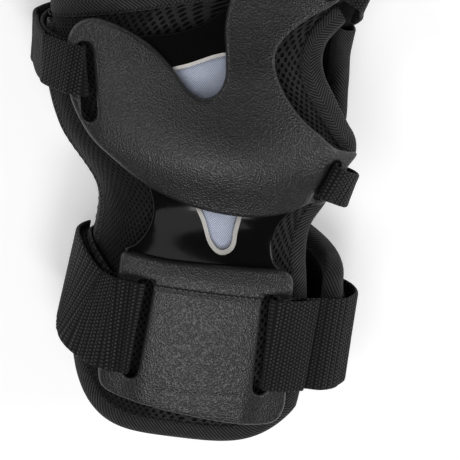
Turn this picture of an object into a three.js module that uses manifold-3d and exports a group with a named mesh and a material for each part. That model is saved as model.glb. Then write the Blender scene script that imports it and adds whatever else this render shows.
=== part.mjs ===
// Wrist guard for a right hand, lying on its back with the palm side up and the straps fastened.
// X runs across the hand towards the thumb, Y from the forearm to the fingers, Z up through the palm.
// The origin is on the flat underside of the forearm strap, at the middle of its width.

import * as THREE from "three";
import { mergeVertices } from "three/addons/utils/BufferGeometryUtils.js";
import Module from "manifold-3d";

const wasm = await Module();
wasm.setup();

// ---- Driving dimensions, in millimetres and degrees ----

const GAP = 0.3; // between pieces that touch
const WEBBING = 1.4; // thickness of the straps
const FOREARM_STRAP_WIDTH = 32;
const HAND_STRAP_WIDTH = 16;
const WRIST_STRAP_WIDTH = 12;
const PATCH = 0.6; // thickness of the hook and loop patches
const PATCH_GAP = 0.5;
const PLATE = 2.6; // thickness of the moulded plates
const SPLINT = 2.4; // thickness of the palm splint
const SHELL_FABRIC = 2.2; // air mesh of the palm and back panels
const FOAM = 2.5;
const LINING = 0.8;
const BACK_SPLINT = 1.6; // the stiffener stands in a cut-out of the back foam
const EDGE_BINDING_WIDTH = 4.5;
const THUMB_BINDING_WIDTH = 7;
const FINGER_BINDING_WIDTH = 10;
const BINDING_GAP = 0.6; // between a bound edge and its binding, which curve together
const PRESSED_FLAT = 0.15; // a strap's underside this close to the ground lies on it
const PALM_SQUARENESS = 2.4; // exponent of the cross-sections, where 2 is an ellipse
const BACK_CUT = 1.5; // how deep the flat underside cuts into the round back
const WIDTH_REACH = 8; // a strap's width direction is taken over this length to each side

// Cross-sections of the sleeve from the forearm end to the finger end: the reach of the palm side to the
// left and right, the reach of the back to the right, the crown's place across and the palm's height.
const SECTION_Y = [-40, -15, 5, 24, 40, 60, 84, 106, 140];
const SECTION = {
  left: [-38, -39, -38.5, -37, -38, -53.5, -61.5, -60.5, -53],
  palmRight: [44, 46, 45, 42, 38, 45, 45, 40, 43],
  backRight: [44, 51, 52, 46, 33, 42, 42, 39, 43],
  crown: [0, 0, 0, 0, -2, -6, -8, -10, -6],
  top: [42, 46, 48, 48, 46, 51, 48, 42, 35],
};

// The free right-hand edges. The palm panel's is given by its x, the back panel's by its angle.
const PALM_EDGE_Y = [-36, -20, 0, 18, 30, 40, 48, 60, 66, 72, 80, 87, 95, 103, 110, 116];
const PALM_EDGE_X = [33, 35, 34, 31, 29, 30, 34, 39, 39, 35, 28, 23, 21, 23, 29, 36];
const BACK_EDGE_Y = [-36, -24, -15, -9, 14, 20, 26, 33, 42, 52, 62, 72, 82, 94, 103, 113];
const BACK_EDGE_DEGREES = [298, 308, 358, 380, 380, 370, 342, 318, 316, 326, 335, 338, 337, 339, 350, 366];
const THUMB_WEB_Y = 116; // above it the sleeve is closed between thumb and fingers

// Outer layers, as distances from the palm panel's outer surface.
const INSERT_OFFSET = 0.5;
const INSERT = 0.6; // thickness of the twill
const SPLINT_OFFSET = 1.4;
const PLATE_OFFSET = SPLINT_OFFSET + SPLINT + GAP; // over the splint
const PLATE_EDGE_OFFSET = 3; // at the slots, where only a strap lies below
const STRAP_OFFSET = 1.4; // middle of a strap that lies on the sleeve
const BACK_Z = STRAP_OFFSET + WEBBING / 2; // flat underside of the back panel, above the straps
const LOOP_PATCH_OFFSET = STRAP_OFFSET + WEBBING / 2 + PATCH_GAP;
const HOOK_PATCH_OFFSET = LOOP_PATCH_OFFSET + PATCH + PATCH_GAP;
const TAB_OFFSET = HOOK_PATCH_OFFSET + PATCH + PATCH_GAP + WEBBING / 2;

const HEEL_DOME = { x: 0, y: 60, height: 3, width: 27, length: 15 };

const wristGuard = new THREE.Group();

// ---- Small helpers ----

const radians = THREE.MathUtils.degToRad;
const mix = THREE.MathUtils.lerp;
const smooth = THREE.MathUtils.smoothstep;
const { clamp } = THREE.MathUtils;
const vector = (x, y, z) => new THREE.Vector3(x, y, z);
const steps = (from, to, count) =>
  Array.from({ length: count + 1 }, (_, i) => mix(from, to, i / count));

// A smooth curve through chosen values, held at its first and last value outside them.
function curveThrough(places, values) {
  const spline = new THREE.CubicInterpolant(places, values, 1, [0]);
  return (at) => spline.evaluate(clamp(at, places[0], places.at(-1)))[0];
}

// A closed solid from vertices and triangles, turned so that its faces point out.
function solidGeometry(vertices, triangles) {
  const volume = triangles.reduce((sum, [a, b, c]) => {
    const across = vertices[b].clone().cross(vertices[c]);
    return sum + vertices[a].dot(across);
  }, 0);
  const outward = volume < 0 ? triangles.map((t) => t.toReversed()) : triangles;
  const geometry = new THREE.BufferGeometry().setFromPoints(vertices);
  geometry.setIndex(outward.flat());
  geometry.computeVertexNormals();
  return geometry;
}

function addQuad(triangles, a, b, c, d) {
  triangles.push([a, b, c], [a, c, d]);
}

// A closed shell: surface(u, v, offset) is laid out on a grid at an outer and an inner offset.
function shell(surface, us, vs, outer, inner) {
  const vertices = [];
  for (const offset of [outer, inner])
    for (const u of us) for (const v of vs) vertices.push(surface(u, v, offset));
  const row = vs.length;
  const layer = us.length * row;
  const triangles = [];
  for (let i = 0; i + 1 < us.length; i++)
    for (let j = 0; j + 1 < row; j++) {
      const a = i * row + j;
      addQuad(triangles, a, a + row, a + row + 1, a + 1);
      addQuad(triangles, layer + a, layer + a + 1, layer + a + row + 1, layer + a + row);
    }
  for (let i = 0; i + 1 < us.length; i++) {
    const start = i * row;
    const end = start + row - 1;
    addQuad(triangles, start, layer + start, layer + start + row, start + row);
    addQuad(triangles, end + row, layer + end + row, layer + end, end);
  }
  for (let j = 0; j + 1 < row; j++) {
    const last = (us.length - 1) * row + j;
    addQuad(triangles, j + 1, layer + j + 1, layer + j, j);
    addQuad(triangles, last, layer + last, layer + last + 1, last + 1);
  }
  return solidGeometry(vertices, triangles);
}

// A closed solid with a convex profile [across, outward] swept along stations {p, across, outward}.
function sweep(stations, profile, closed = false) {
  const vertices = stations.flatMap(({ p, across, outward }) =>
    profile.map(([a, b]) => p.clone().addScaledVector(across, a).addScaledVector(outward, b)),
  );
  const ring = profile.length;
  const triangles = [];
  const segments = closed ? stations.length : stations.length - 1;
  for (let i = 0; i < segments; i++) {
    const here = i * ring;
    const next = ((i + 1) % stations.length) * ring;
    for (let k = 0; k < ring; k++) {
      const after = (k + 1) % ring;
      addQuad(triangles, here + k, next + k, next + after, here + after);
    }
  }
  const last = (stations.length - 1) * ring;
  for (let k = 1; k + 1 < ring && !closed; k++) {
    triangles.push([0, k, k + 1], [last, last + k + 1, last + k]);
  }
  return solidGeometry(vertices, triangles);
}

const rectangle = (width, thickness) => [
  [-width / 2, -thickness / 2],
  [width / 2, -thickness / 2],
  [width / 2, thickness / 2],
  [-width / 2, thickness / 2],
];

// ---- Joining and cutting ----

function toSolid(geometry) {
  const bare = geometry.clone();
  bare.deleteAttribute("normal");
  bare.deleteAttribute("uv");
  const merged = mergeVertices(bare, 1e-4);
  const vertProperties = merged.attributes.position.array;
  const triVerts = new Uint32Array(merged.index.array);
  return new wasm.Manifold(new wasm.Mesh({ numProp: 3, vertProperties, triVerts }));
}

function toGeometry(solid) {
  const { vertProperties, triVerts } = solid.getMesh();
  const geometry = new THREE.BufferGeometry();
  geometry.setAttribute("position", new THREE.BufferAttribute(vertProperties, 3));
  geometry.setIndex(new THREE.BufferAttribute(triVerts, 1));
  geometry.computeVertexNormals();
  return geometry;
}

// A smooth closed outline through [x, y] points.
function outline(points, samplesPerPoint = 3) {
  const corners = points.map(([x, y]) => vector(x, y, 0));
  const curve = new THREE.CatmullRomCurve3(corners, true, "centripetal");
  const sampled = curve.getPoints(points.length * samplesPerPoint).slice(0, -1);
  return new THREE.Shape(sampled.map(({ x, y }) => new THREE.Vector2(x, y)));
}

// An upright prism of an outline, taller than the whole guard.
function prism(shape) {
  const geometry = new THREE.ExtrudeGeometry(shape, { depth: 100, bevelEnabled: false });
  return toSolid(geometry.translate(0, 0, -10));
}

// A slot's outline: two half circles joined by straight sides.
function slotShape([[x0, y0], [x1, y1]], width) {
  const along = Math.atan2(y1 - y0, x1 - x0);
  const shape = new THREE.Shape();
  shape.absarc(x1, y1, width / 2, along - Math.PI / 2, along + Math.PI / 2);
  shape.absarc(x0, y0, width / 2, along + Math.PI / 2, along + (3 * Math.PI) / 2);
  return new THREE.Shape(shape.getPoints(8).slice(0, -1));
}

// A cutter that gives an opening a sloping edge: it widens upwards to the height z.
function flare(shape, z, depth, reach) {
  const geometry = new THREE.ExtrudeGeometry(shape, {
    depth: 20,
    bevelThickness: depth,
    bevelSize: reach,
    bevelSegments: 1,
    curveSegments: 6,
  });
  return toSolid(geometry.translate(0, 0, z));
}

// ---- The sleeve's surface ----

const sectionCurves = Object.fromEntries(
  Object.entries(SECTION).map(([name, values]) => [name, curveThrough(SECTION_Y, values)]),
);
const palmEdgeX = curveThrough(PALM_EDGE_Y, PALM_EDGE_X);
const backEdgeDegrees = curveThrough(BACK_EDGE_Y, BACK_EDGE_DEGREES);

// A point of the cross-section at y. The angle is 0 on the thumb side, 90 on the palm's crown, 180 on the
// little-finger side and 270 on the middle of the back; up to 180 it is the palm side.
function sectionPoint(y, degrees, onBack) {
  const top = sectionCurves.top(y);
  const middle = (top + BACK_Z) / 2;
  const rise = top - middle;
  const crown = sectionCurves.crown(y);
  const c = Math.cos(radians(degrees));
  const s = Math.sin(radians(degrees));
  const right = onBack ? sectionCurves.backRight(y) : sectionCurves.palmRight(y);
  const reach = c > 0 ? right - crown : crown - sectionCurves.left(y);
  const power = 2 / PALM_SQUARENESS;
  const x = crown + reach * Math.sign(c) * Math.abs(c) ** power;
  const round = Math.abs(s) ** power;
  return [x, s > 0 ? middle + rise * round : middle - (rise + BACK_CUT) * round];
}

// The sleeve's outer surface at an offset outside it, with a flat underside for the straps.
function skin(y, degrees, offset = 0, onBack = degrees > 180) {
  const [x, z] = sectionPoint(y, degrees, onBack);
  const [x0, z0] = sectionPoint(y, degrees - 1.5, onBack);
  const [x1, z1] = sectionPoint(y, degrees + 1.5, onBack);
  const length = Math.hypot(x1 - x0, z1 - z0);
  const outwardX = (z1 - z0) / length;
  const outwardZ = (x0 - x1) / length;
  return vector(x + offset * outwardX, y, Math.max(z + offset * outwardZ, BACK_Z - offset));
}

// The palm side as a height over x and y, at an offset measured square to the surface.
function palmHeight(x, y, offset = 0) {
  const top = sectionCurves.top(y);
  const middle = (top + BACK_Z) / 2;
  const crown = sectionCurves.crown(y);
  const reach = x > crown ? sectionCurves.palmRight(y) - crown : crown - sectionCurves.left(y);
  const u = clamp(Math.abs(x - crown) / reach, 0, 0.97);
  const fall = (1 - u ** PALM_SQUARENESS) ** (1 / PALM_SQUARENESS);
  const slope = (((top - middle) / reach) * u ** (PALM_SQUARENESS - 1)) / fall ** (PALM_SQUARENESS - 1);
  return middle + (top - middle) * fall + offset * Math.min(Math.hypot(1, slope), 1.8);
}

// The angle at which the palm side reaches x.
function palmDegrees(x, y) {
  const crown = sectionCurves.crown(y);
  const reach = x > crown ? sectionCurves.palmRight(y) - crown : crown - sectionCurves.left(y);
  const c = Math.min(Math.abs(x - crown) / reach, 1) ** (PALM_SQUARENESS / 2);
  return THREE.MathUtils.radToDeg(Math.acos(c * Math.sign(x - crown)));
}

// The sleeve's ends: a rounded forearm edge and a finger edge that rises towards the index finger.
function forearmEdgeY(degrees) {
  const { x } = skin(-20, degrees);
  return -34.5 + 22 * (Math.abs(x + 3) / (x < -3 ? 36 : 44)) ** 4.5;
}

function fingerEdgeY(degrees) {
  return 113 + 0.3 * skin(120, degrees).x;
}

function onPanel(across, along, angleAt, firstY, lastY) {
  let y = mix(-34, 113, along);
  let degrees = 180;
  for (let pass = 0; pass < 4; pass++) {
    degrees = angleAt(across, y);
    y = mix(firstY(degrees), lastY(degrees), along);
  }
  return [y, degrees];
}

const SEAM_DEGREES = 3.7; // half the seam binding's width, seen from the section's middle

// The palm panel: across 0 is its free right edge and 1 the seam, along 0 the forearm and 1 the fingers.
function palmPanelSurface(across, along, offset) {
  const seam = 180 - SEAM_DEGREES;
  const angleAt = (share, y) => mix(palmEdgeDegrees(y), seam, share);
  return skin(...onPanel(across, along, angleAt, forearmEdgeY, fingerEdgeY), offset, false);
}

function palmEdgeDegrees(y) {
  const open = palmDegrees(palmEdgeX(y), y);
  return mix(open, 11, smooth(y, THUMB_WEB_Y - 4, THUMB_WEB_Y + 4));
}

// The back panel: across 0 is the seam and 1 its free right edge.
function backPanelSurface(across, along, offset) {
  const seam = 180 + SEAM_DEGREES;
  const angleAt = (share, y) => mix(seam, backEdgeDegrees(y), share);
  const firstY = (degrees) => Math.max(forearmEdgeY(Math.min(degrees, 270)), -34.5);
  return skin(...onPanel(across, along, angleAt, firstY, fingerEdgeY), offset, true);
}

// ---- Paths of straps and bindings ----

// A strap's station on the sleeve, or on the palm side at x, with the direction of the strap's width.
function aroundStation(y, degrees, offset) {
  const width = skin(y + WIDTH_REACH, degrees, offset).sub(skin(y - WIDTH_REACH, degrees, offset));
  return { p: skin(y, degrees, offset), width };
}

function palmStation(x, y, offset, lean = 0) {
  const at = (step) => vector(x + lean * step, y + step, palmHeight(x + lean * step, y + step, offset));
  return { p: at(0), width: at(WIDTH_REACH).sub(at(-WIDTH_REACH)) };
}

// Stations of a smooth path, a few between each two given ones, with the width direction square to the path.
function strapStations(stations, perStep) {
  const curve = new THREE.CatmullRomCurve3(stations.map(({ p }) => p), false, "centripetal");
  const widths = stations.map(({ width }) => width.clone().normalize());
  const lowest = Math.min(...stations.map(({ p }) => p.z));
  return steps(0, 1, (stations.length - 1) * perStep).map((t) => {
    const place = Math.min(t * (stations.length - 1), stations.length - 1 - 1e-9);
    const index = Math.floor(place);
    const tangent = curve.getTangent(t);
    const across = widths[index].clone().lerp(widths[index + 1], place - index);
    across.addScaledVector(tangent, -across.dot(tangent)).normalize();
    const p = curve.getPoint(t);
    p.z = Math.max(p.z, lowest);
    return { p, across, outward: across.clone().cross(tangent) };
  });
}

function strap(stations, width, thickness, perStep = 2) {
  const geometry = sweep(strapStations(stations, perStep), rectangle(width, thickness));
  const { position } = geometry.attributes;
  for (let i = 0; i < position.count; i++) {
    if (position.getZ(i) < PRESSED_FLAT) position.setZ(i, 0);
  }
  return geometry;
}

// Stations along a panel's edge. The width direction leads away from the panel, along its surface.
function edgeStations(surface, edge, shares) {
  return shares.map((share) => {
    const [u, v, du, dv] = edge(share);
    const p = surface(u, v, 0);
    const inside = surface(u - du * 0.02, v - dv * 0.02, 0);
    const outward = surface(u - du * 0.02, v - dv * 0.02, 1).sub(inside).normalize();
    const before = edge(share - 1e-3);
    const after = edge(share + 1e-3);
    const ahead = surface(after[0], after[1], 0).sub(p).normalize();
    const behind = p.clone().sub(surface(before[0], before[1], 0)).normalize();
    const tangent = ahead.add(behind).normalize();
    const across = outward.clone().cross(tangent).normalize();
    if (across.dot(p.clone().sub(inside)) < 0) across.negate();
    return { p, across, outward };
  });
}

// A bound edge: a band with rounded sides, next to the panel that it finishes.
function bindingProfile(width, thickness, proud) {
  const low = proud - thickness;
  return [
    [BINDING_GAP, low],
    [width - 1, low],
    [width, low + 1],
    [width, proud - 1],
    [width - 1, proud],
    [BINDING_GAP, proud],
  ];
}

// ---- Nodes ----

function addNode(name, geometry, colour, roughness) {
  const material = new THREE.MeshStandardMaterial({ color: colour, roughness, metalness: 0 });
  const mesh = new THREE.Mesh(geometry, material);
  mesh.name = name;
  wristGuard.add(mesh);
}

const PLATE_COLOUR = 0x1c1c1d;
const GLOSS_COLOUR = 0x0c0c0d;
const MESH_COLOUR = 0x151515;
const WEBBING_COLOUR = 0x17171a;
const BINDING_COLOUR = 0x121212;
const LINING_COLOUR = 0x0e0e0f;
const INSERT_COLOUR = 0x8d94ad;
const FOAM_COLOUR = 0x2a2a2a;
const RIVET_COLOUR = 0x8a8a8c;

// ---- Hard plates ----

// A curved plate of an outline, between two offsets that may vary over the palm.
function plate(points, cuts, lower, upper, cell, samplesPerPoint) {
  const xs = points.map(([x]) => x);
  const ys = points.map(([, y]) => y);
  const margin = 2;
  const grid = (values) => {
    const from = Math.floor((Math.min(...values) - margin) / cell);
    const to = Math.ceil((Math.max(...values) + margin) / cell);
    return steps(from * cell, to * cell, to - from);
  };
  const surface = (x, y, face) => vector(x, y, palmHeight(x, y, face === 0 ? lower(x, y) : upper(x, y)));
  const slab = toSolid(shell(surface, grid(xs), grid(ys), 1, 0));
  const cut = slab.intersect(prism(outline(points, samplesPerPoint)));
  return cuts.reduce((solid, cutter) => solid.subtract(cutter), cut);
}

function heelDome(x, y) {
  const { height, width, length } = HEEL_DOME;
  return height * Math.exp(-(((x - HEEL_DOME.x) / width) ** 2) - ((y - HEEL_DOME.y) / length) ** 2);
}

const skidOffset = (x, y) =>
  mix(PLATE_OFFSET, PLATE_EDGE_OFFSET, smooth(Math.abs(x + 4), 37, 46)) + heelDome(x, y);
const forearmOffset = (x, y) =>
  mix(PLATE_OFFSET, PLATE_EDGE_OFFSET, smooth(Math.abs(x - 1), 16, 24) * smooth(-y, -20, -16));

const RIVET = { head: 3.4, headHeight: 0.75, shank: 1.6, bite: 1.5, clearance: 0.35 };
const SKID_RIVETS = [[-33, 66], [-34.5, 80], [20, 60], [1.5, 107]];
const FOREARM_RIVETS = [[-9, 9], [11, 9], [-9, -16], [11, -16]];

// A blind rivet from below the splint into the plate above it, square to the palm.
function rivetProfile(length, grow) {
  const { head, headHeight, shank } = RIVET;
  return [
    [0, -grow],
    [head + grow, -grow],
    [head + grow, headHeight + grow],
    [shank + grow, headHeight + 0.3 + grow],
    [shank + grow, length + grow],
    [0, length + grow],
  ].map(([r, z]) => new THREE.Vector2(r, z));
}

function rivetGeometry([x, y], plateOffset, grow = 0) {
  const length = plateOffset(x, y) + RIVET.bite - GAP;
  const base = vector(x, y, palmHeight(x, y, GAP));
  const normal = vector(
    palmHeight(x - 1, y) - palmHeight(x + 1, y),
    palmHeight(x, y - 1) - palmHeight(x, y + 1),
    2,
  ).normalize();
  const turn = new THREE.Quaternion().setFromUnitVectors(vector(0, 0, 1), normal);
  const geometry = new THREE.LatheGeometry(rivetProfile(length, grow), 10);
  return geometry.rotateX(Math.PI / 2).applyQuaternion(turn).translate(base.x, base.y, base.z);
}

const rivetCutters = (places, plateOffset) =>
  places.map((place) => toSolid(rivetGeometry(place, plateOffset, RIVET.clearance)));

const HAND_SLOT = [[-49.9, 88.6], [-45.6, 69]];
const INDEX_SLOT = [[25.8, 117.3], [32.2, 130.7]];
const WRIST_SLOT = [[31.8, 52], [35.6, 62.4]];
const LEFT_FOREARM_SLOT = [[-19.9, 15], [-20.6, -15]];
const RIGHT_FOREARM_SLOT = [[21, 15], [23, -15.5]];
const SLOT_WIDTH = 5;
const WRIST_SLOT_WIDTH = 3.4;

const leanOf = ([[x0, y0], [x1, y1]]) => (x1 - x0) / (y1 - y0);

// From the left ear's tip, down its outer side, along the heel and up the index-finger arm.
const SKID_OUTLINE = [
  [-30, 93.8], [-37, 96.8], [-43, 98.4], [-48.5, 98.6], [-52.8, 96.4], [-55.2, 92], [-55.4, 86],
  [-52.8, 74], [-50, 68.5], [-44.6, 61.8], [-37, 56.2], [-27, 50], [-18, 46], [-8, 43.4], [2, 42.2],
  [13, 42.6], [23, 45.2], [29, 48.3], [32.5, 47.8], [35.4, 49.2], [37.4, 53], [40, 60.8], [42.9, 66.2],
  [39.5, 66.8], [35, 68], [29, 72], [21.4, 77.4], [14.6, 84.8], [11, 92], [10.8, 97.6], [14.4, 103],
  [20.4, 108.4], [27, 112.8], [33, 118], [38, 125], [39, 131], [35.5, 135.6], [28, 136.4], [17, 132.6],
  [5, 126], [-3.6, 118.6], [-6.2, 111], [-6.8, 102], [-5.3, 93], [-4.8, 85.6], [-7.2, 81],
  [-11.6, 79.7], [-16, 81.8], [-22.6, 88.4],
];

// The splint's tongue runs under the forearm plate, its neck over the wrist, its arms under the skid plate.
const SPLINT_OUTLINE = [
  [-13, -21], [0, -22.5], [14, -22], [16.5, -18], [17, 0], [17, 17], [19, 21.4], [24.3, 22.6], [24, 25],
  [20.8, 28.5], [19.5, 34], [20.8, 39.8], [25, 46], [29.5, 54], [31, 61], [27.5, 66.5], [19.5, 73],
  [12.6, 80.5], [8.6, 89], [8.2, 98], [9, 108], [6, 115.5], [-1, 115.5], [-4.2, 110.4], [-9, 105.9],
  [-13.4, 102.2], [-18, 99.7], [-24, 97.6], [-30.4, 96.2], [-37, 94.2], [-40.4, 88], [-40, 78], [-37, 66],
  [-31.5, 56.5], [-25.3, 50.4], [-22, 44], [-20.6, 39], [-21.2, 33.8], [-24.2, 28], [-27.8, 24.6],
  [-26, 22.4], [-18, 21.2], [-14.5, 17], [-14.8, -15],
];

const FOREARM_OUTLINE = [
  [-27.6, 24.6], [-14, 24.8], [0, 25.3], [13, 25.8], [24, 25.6], [27.4, 23.6], [28.4, 18], [30, 6],
  [32, -14], [32.6, -23], [30.6, -27.6], [26, -29.2], [13, -29], [-1, -27.8], [-14, -26.2], [-25, -24.4],
  [-29, -22.4], [-30.6, -18], [-30.4, -8], [-29.2, 8], [-29, 20], [-28.8, 23.4],
];

const HEEL_WINDOW = [[-27, 82.6], [-16, 88.4], [-3, 93], [0.4, 87.5], [-2, 78], [-12, 73.6], [-22, 77]];
const NECK_WINDOW = [[-7.3, 47], [-3.4, 38.5], [0, 31.6], [3, 29.7], [5.6, 31.2], [6.1, 36], [5.7, 47]];
const WINDOW_FLARE = 1.6;

function palmSplint() {
  const windows = [HEEL_WINDOW, NECK_WINDOW].map((points) => {
    const shape = outline(points, 4);
    const centre = points.reduce(([sx, sy], [x, y]) => [sx + x, sy + y], [0, 0]);
    const [x, y] = centre.map((sum) => sum / points.length);
    const top = palmHeight(x, y, SPLINT_OFFSET + SPLINT);
    return prism(shape).add(flare(shape, top, WINDOW_FLARE, WINDOW_FLARE));
  });
  const rivetHoles = [
    ...rivetCutters(SKID_RIVETS, skidOffset),
    ...rivetCutters(FOREARM_RIVETS, forearmOffset),
  ];
  const lower = () => SPLINT_OFFSET;
  const upper = () => SPLINT_OFFSET + SPLINT;
  return plate(SPLINT_OUTLINE, [...windows, ...rivetHoles], lower, upper, 7, 3);
}

function skidPlate() {
  const cuts = [
    prism(slotShape(HAND_SLOT, SLOT_WIDTH)),
    prism(slotShape(INDEX_SLOT, SLOT_WIDTH)),
    prism(slotShape(WRIST_SLOT, WRIST_SLOT_WIDTH)),
    ...rivetCutters(SKID_RIVETS, skidOffset),
  ];
  const upper = (x, y) => skidOffset(x, y) + PLATE;
  return plate(SKID_OUTLINE, cuts, skidOffset, upper, 6, 3);
}

// The raised band at the wrist end of the forearm plate slopes away towards the hand.
const BAND = { y: 17, height: 1.3, slopeStart: 19, slopeEnd: 27 };

function forearmPlate() {
  const cuts = [
    prism(slotShape(LEFT_FOREARM_SLOT, SLOT_WIDTH)),
    prism(slotShape(RIGHT_FOREARM_SLOT, SLOT_WIDTH)),
    ...rivetCutters(FOREARM_RIVETS, forearmOffset),
  ];
  const band = (y) => (y > BAND.y ? BAND.height * (1 - smooth(y, BAND.slopeStart, BAND.slopeEnd)) : 0);
  const upper = (x, y) => forearmOffset(x, y) + PLATE + band(y);
  return plate(FOREARM_OUTLINE, cuts, forearmOffset, upper, 4, 2);
}

const INSERT_OUTLINE = [
  [-11, 24.5], [5, 23], [13, 25.5], [14, 40], [13, 56], [9, 75], [5.5, 96.5], [-7, 100.6], [-17, 96.6],
  [-28, 91.6], [-29, 80], [-24, 64], [-15, 46],
];

function windowInsert() {
  const offset = () => INSERT_OFFSET;
  return plate(INSERT_OUTLINE, [], offset, () => INSERT_OFFSET + INSERT, 7, 2);
}

addNode("skid_plate", toGeometry(skidPlate()), PLATE_COLOUR, 0.55);
addNode("palm_splint", toGeometry(palmSplint()), GLOSS_COLOUR, 0.18);
addNode("forearm_plate", toGeometry(forearmPlate()), PLATE_COLOUR, 0.55);
addNode("window_insert_panel", toGeometry(windowInsert()), INSERT_COLOUR, 0.7);
SKID_RIVETS.forEach((place, i) =>
  addNode(`skid_rivet_${i + 1}`, rivetGeometry(place, skidOffset), RIVET_COLOUR, 0.4),
);
FOREARM_RIVETS.forEach((place, i) =>
  addNode(`forearm_rivet_${i + 1}`, rivetGeometry(place, forearmOffset), RIVET_COLOUR, 0.4),
);

// ---- Soft panels: shell fabric outside, foam, then lining inside ----

const LAYER_GAP = 0.5; // between the layers of a panel, which bend over each other
const INSET = 0.03; // the foam and lining stop short of the shell fabric's edges
const COLUMNS = [0, ...steps(INSET, 1 - INSET, 8), 1];
const ROWS = [0, ...steps(INSET, 0.42, 10), ...steps(0.42, 1 - INSET, 11).slice(1), 1];

const HEEL_PAD_OUTLINE = [[-20, 50], [0, 46], [18, 51], [22, 64], [14, 78], [-4, 83], [-22, 78], [-28, 64]];
const BACK_SPLINT_OUTLINE = [
  [-11, -20], [11, -20], [13, -16], [13, 84], [9, 90], [-9, 90], [-13, 84], [-13, -16],
];

const POCKET_SIDE = 0.6; // play round a pad or stiffener in the foam
const POCKET_FACE = 0.2; // and over and under it

function grow(points, by) {
  const centreX = points.reduce((sum, [x]) => sum + x, 0) / points.length;
  const centreY = points.reduce((sum, [, y]) => sum + y, 0) / points.length;
  return points.map(([x, y]) => [x + by * Math.sign(x - centreX), y + by * Math.sign(y - centreY)]);
}

function panelShell(surface, outer, thickness, inset) {
  const kept = (shares) => shares.filter((share) => share >= inset && share <= 1 - inset);
  return shell(surface, kept(COLUMNS), kept(ROWS), outer, outer - thickness);
}

function layered(surface, names, insertOutline, insertName, insertThickness) {
  const [fabricName, foamName, liningName] = names;
  const foamOffset = -SHELL_FABRIC - LAYER_GAP;
  const liningOffset = foamOffset - FOAM - LAYER_GAP;
  const isPalm = surface === palmPanelSurface;
  const keepHalf = new THREE.BoxGeometry(200, 300, 60).translate(0, 50, isPalm ? 60 : -15);
  const half = toSolid(keepHalf);
  const hole = prism(outline(grow(insertOutline, POCKET_SIDE), 3)).intersect(half);
  const foam = toSolid(panelShell(surface, foamOffset, FOAM, INSET));
  addNode(fabricName, panelShell(surface, 0, SHELL_FABRIC, 0), MESH_COLOUR, 0.85);
  addNode(foamName, toGeometry(foam.subtract(hole)), FOAM_COLOUR, 0.9);
  addNode(liningName, panelShell(surface, liningOffset, LINING, INSET), LINING_COLOUR, 0.9);
  const thickness = insertThickness - 2 * POCKET_FACE;
  const filling = toSolid(panelShell(surface, foamOffset - POCKET_FACE, thickness, INSET));
  const inserted = filling.intersect(prism(outline(insertOutline, 3)).intersect(half));
  addNode(insertName, toGeometry(inserted), FOAM_COLOUR, 0.6);
}

layered(palmPanelSurface, ["palm_panel", "palm_foam", "palm_lining"], HEEL_PAD_OUTLINE, "heel_pad", FOAM);
layered(
  backPanelSurface,
  ["back_panel", "back_foam", "back_lining"],
  BACK_SPLINT_OUTLINE,
  "back_splint",
  BACK_SPLINT,
);

// ---- Bound edges ----

const BINDING_PROUD = 0.3;
const BINDING_THICKNESS = SHELL_FABRIC + FOAM + LINING + 2 * LAYER_GAP + 2 * BINDING_PROUD;
const SEAM_WIDTH = 4;
const SEAM_ENDS = [-11, 93]; // along the arm, from the forearm end to the fingers

function addBinding(name, surface, edge, width, shares, closed = false) {
  const stations = edgeStations(surface, edge, shares);
  const profile = bindingProfile(width, BINDING_THICKNESS, BINDING_PROUD);
  addNode(name, sweep(stations, profile, closed), BINDING_COLOUR, 0.8);
}

// A binding's stations stand where its panel's rows and columns do, so that the two run side by side.
const between = (from, to, shares) => [from, ...shares.filter((s) => s > from && s < to), to];

// The palm panel's free edge, with negative shares along the forearm end and positive ones up the wrist.
const palmFreeEdge = (t) => (t < 0 ? [-t, 0, 0, -1] : [0, t, -1, 0]);
const palmEdgeShares = [...COLUMNS.slice(1).map((u) => -u).reverse(), ...ROWS];

// The back panel's, from the seam along the forearm end and up the thumb side.
const backFreeEdge = (t) => (t < 1 ? [t, 0, 0, -1] : [1, t - 1, 1, 0]);
const backEdgeShares = [...COLUMNS, ...ROWS.slice(1).map((v) => v + 1)];

const palmEdgeJoint = 0.57; // share of the panel's length at which the thumb hole's wider binding begins

// Round the finger opening: the palm panel's edge from 0 to 1 and the back panel's from 1 to 2.
function fingerRing(u, v, offset) {
  return u <= 1 ? palmPanelSurface(u, v, offset) : backPanelSurface(u - 1, v, offset);
}

// Each binding stops short of the seam, of the finger binding and of the next one.
const palmBindingShares = between(-0.97, palmEdgeJoint - 0.005, palmEdgeShares);
const backBindingShares = between(0.05, 1.87, backEdgeShares);
const thumbBindingShares = between(palmEdgeJoint, 0.925, palmEdgeShares);
const ringShares = [...COLUMNS, ...COLUMNS.map((u) => u + 1)];
addBinding("palm_edge_binding", palmPanelSurface, palmFreeEdge, EDGE_BINDING_WIDTH, palmBindingShares);
addBinding("back_edge_binding", backPanelSurface, backFreeEdge, EDGE_BINDING_WIDTH, backBindingShares);
addBinding("thumb_hole_binding", palmPanelSurface, palmFreeEdge, THUMB_BINDING_WIDTH, thumbBindingShares);
addBinding("finger_edge_binding", fingerRing, (u) => [u, 1, 0, 1], FINGER_BINDING_WIDTH, ringShares, true);

function seamBinding() {
  const stations = steps(...SEAM_ENDS, 20).map((y) => ({
    p: skin(y, 180),
    across: vector(0, 0, 1),
    outward: vector(-1, 0, 0),
  }));
  const profile = bindingProfile(SEAM_WIDTH + BINDING_GAP, BINDING_THICKNESS, BINDING_PROUD);
  return sweep(stations, profile.map(([a, b]) => [a - BINDING_GAP - SEAM_WIDTH / 2, b]));
}

addNode("side_seam_binding", seamBinding(), BINDING_COLOUR, 0.8);

// ---- Forearm strap: an elastic band sewn into a webbing loop, folded back through the left slot ----

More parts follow.
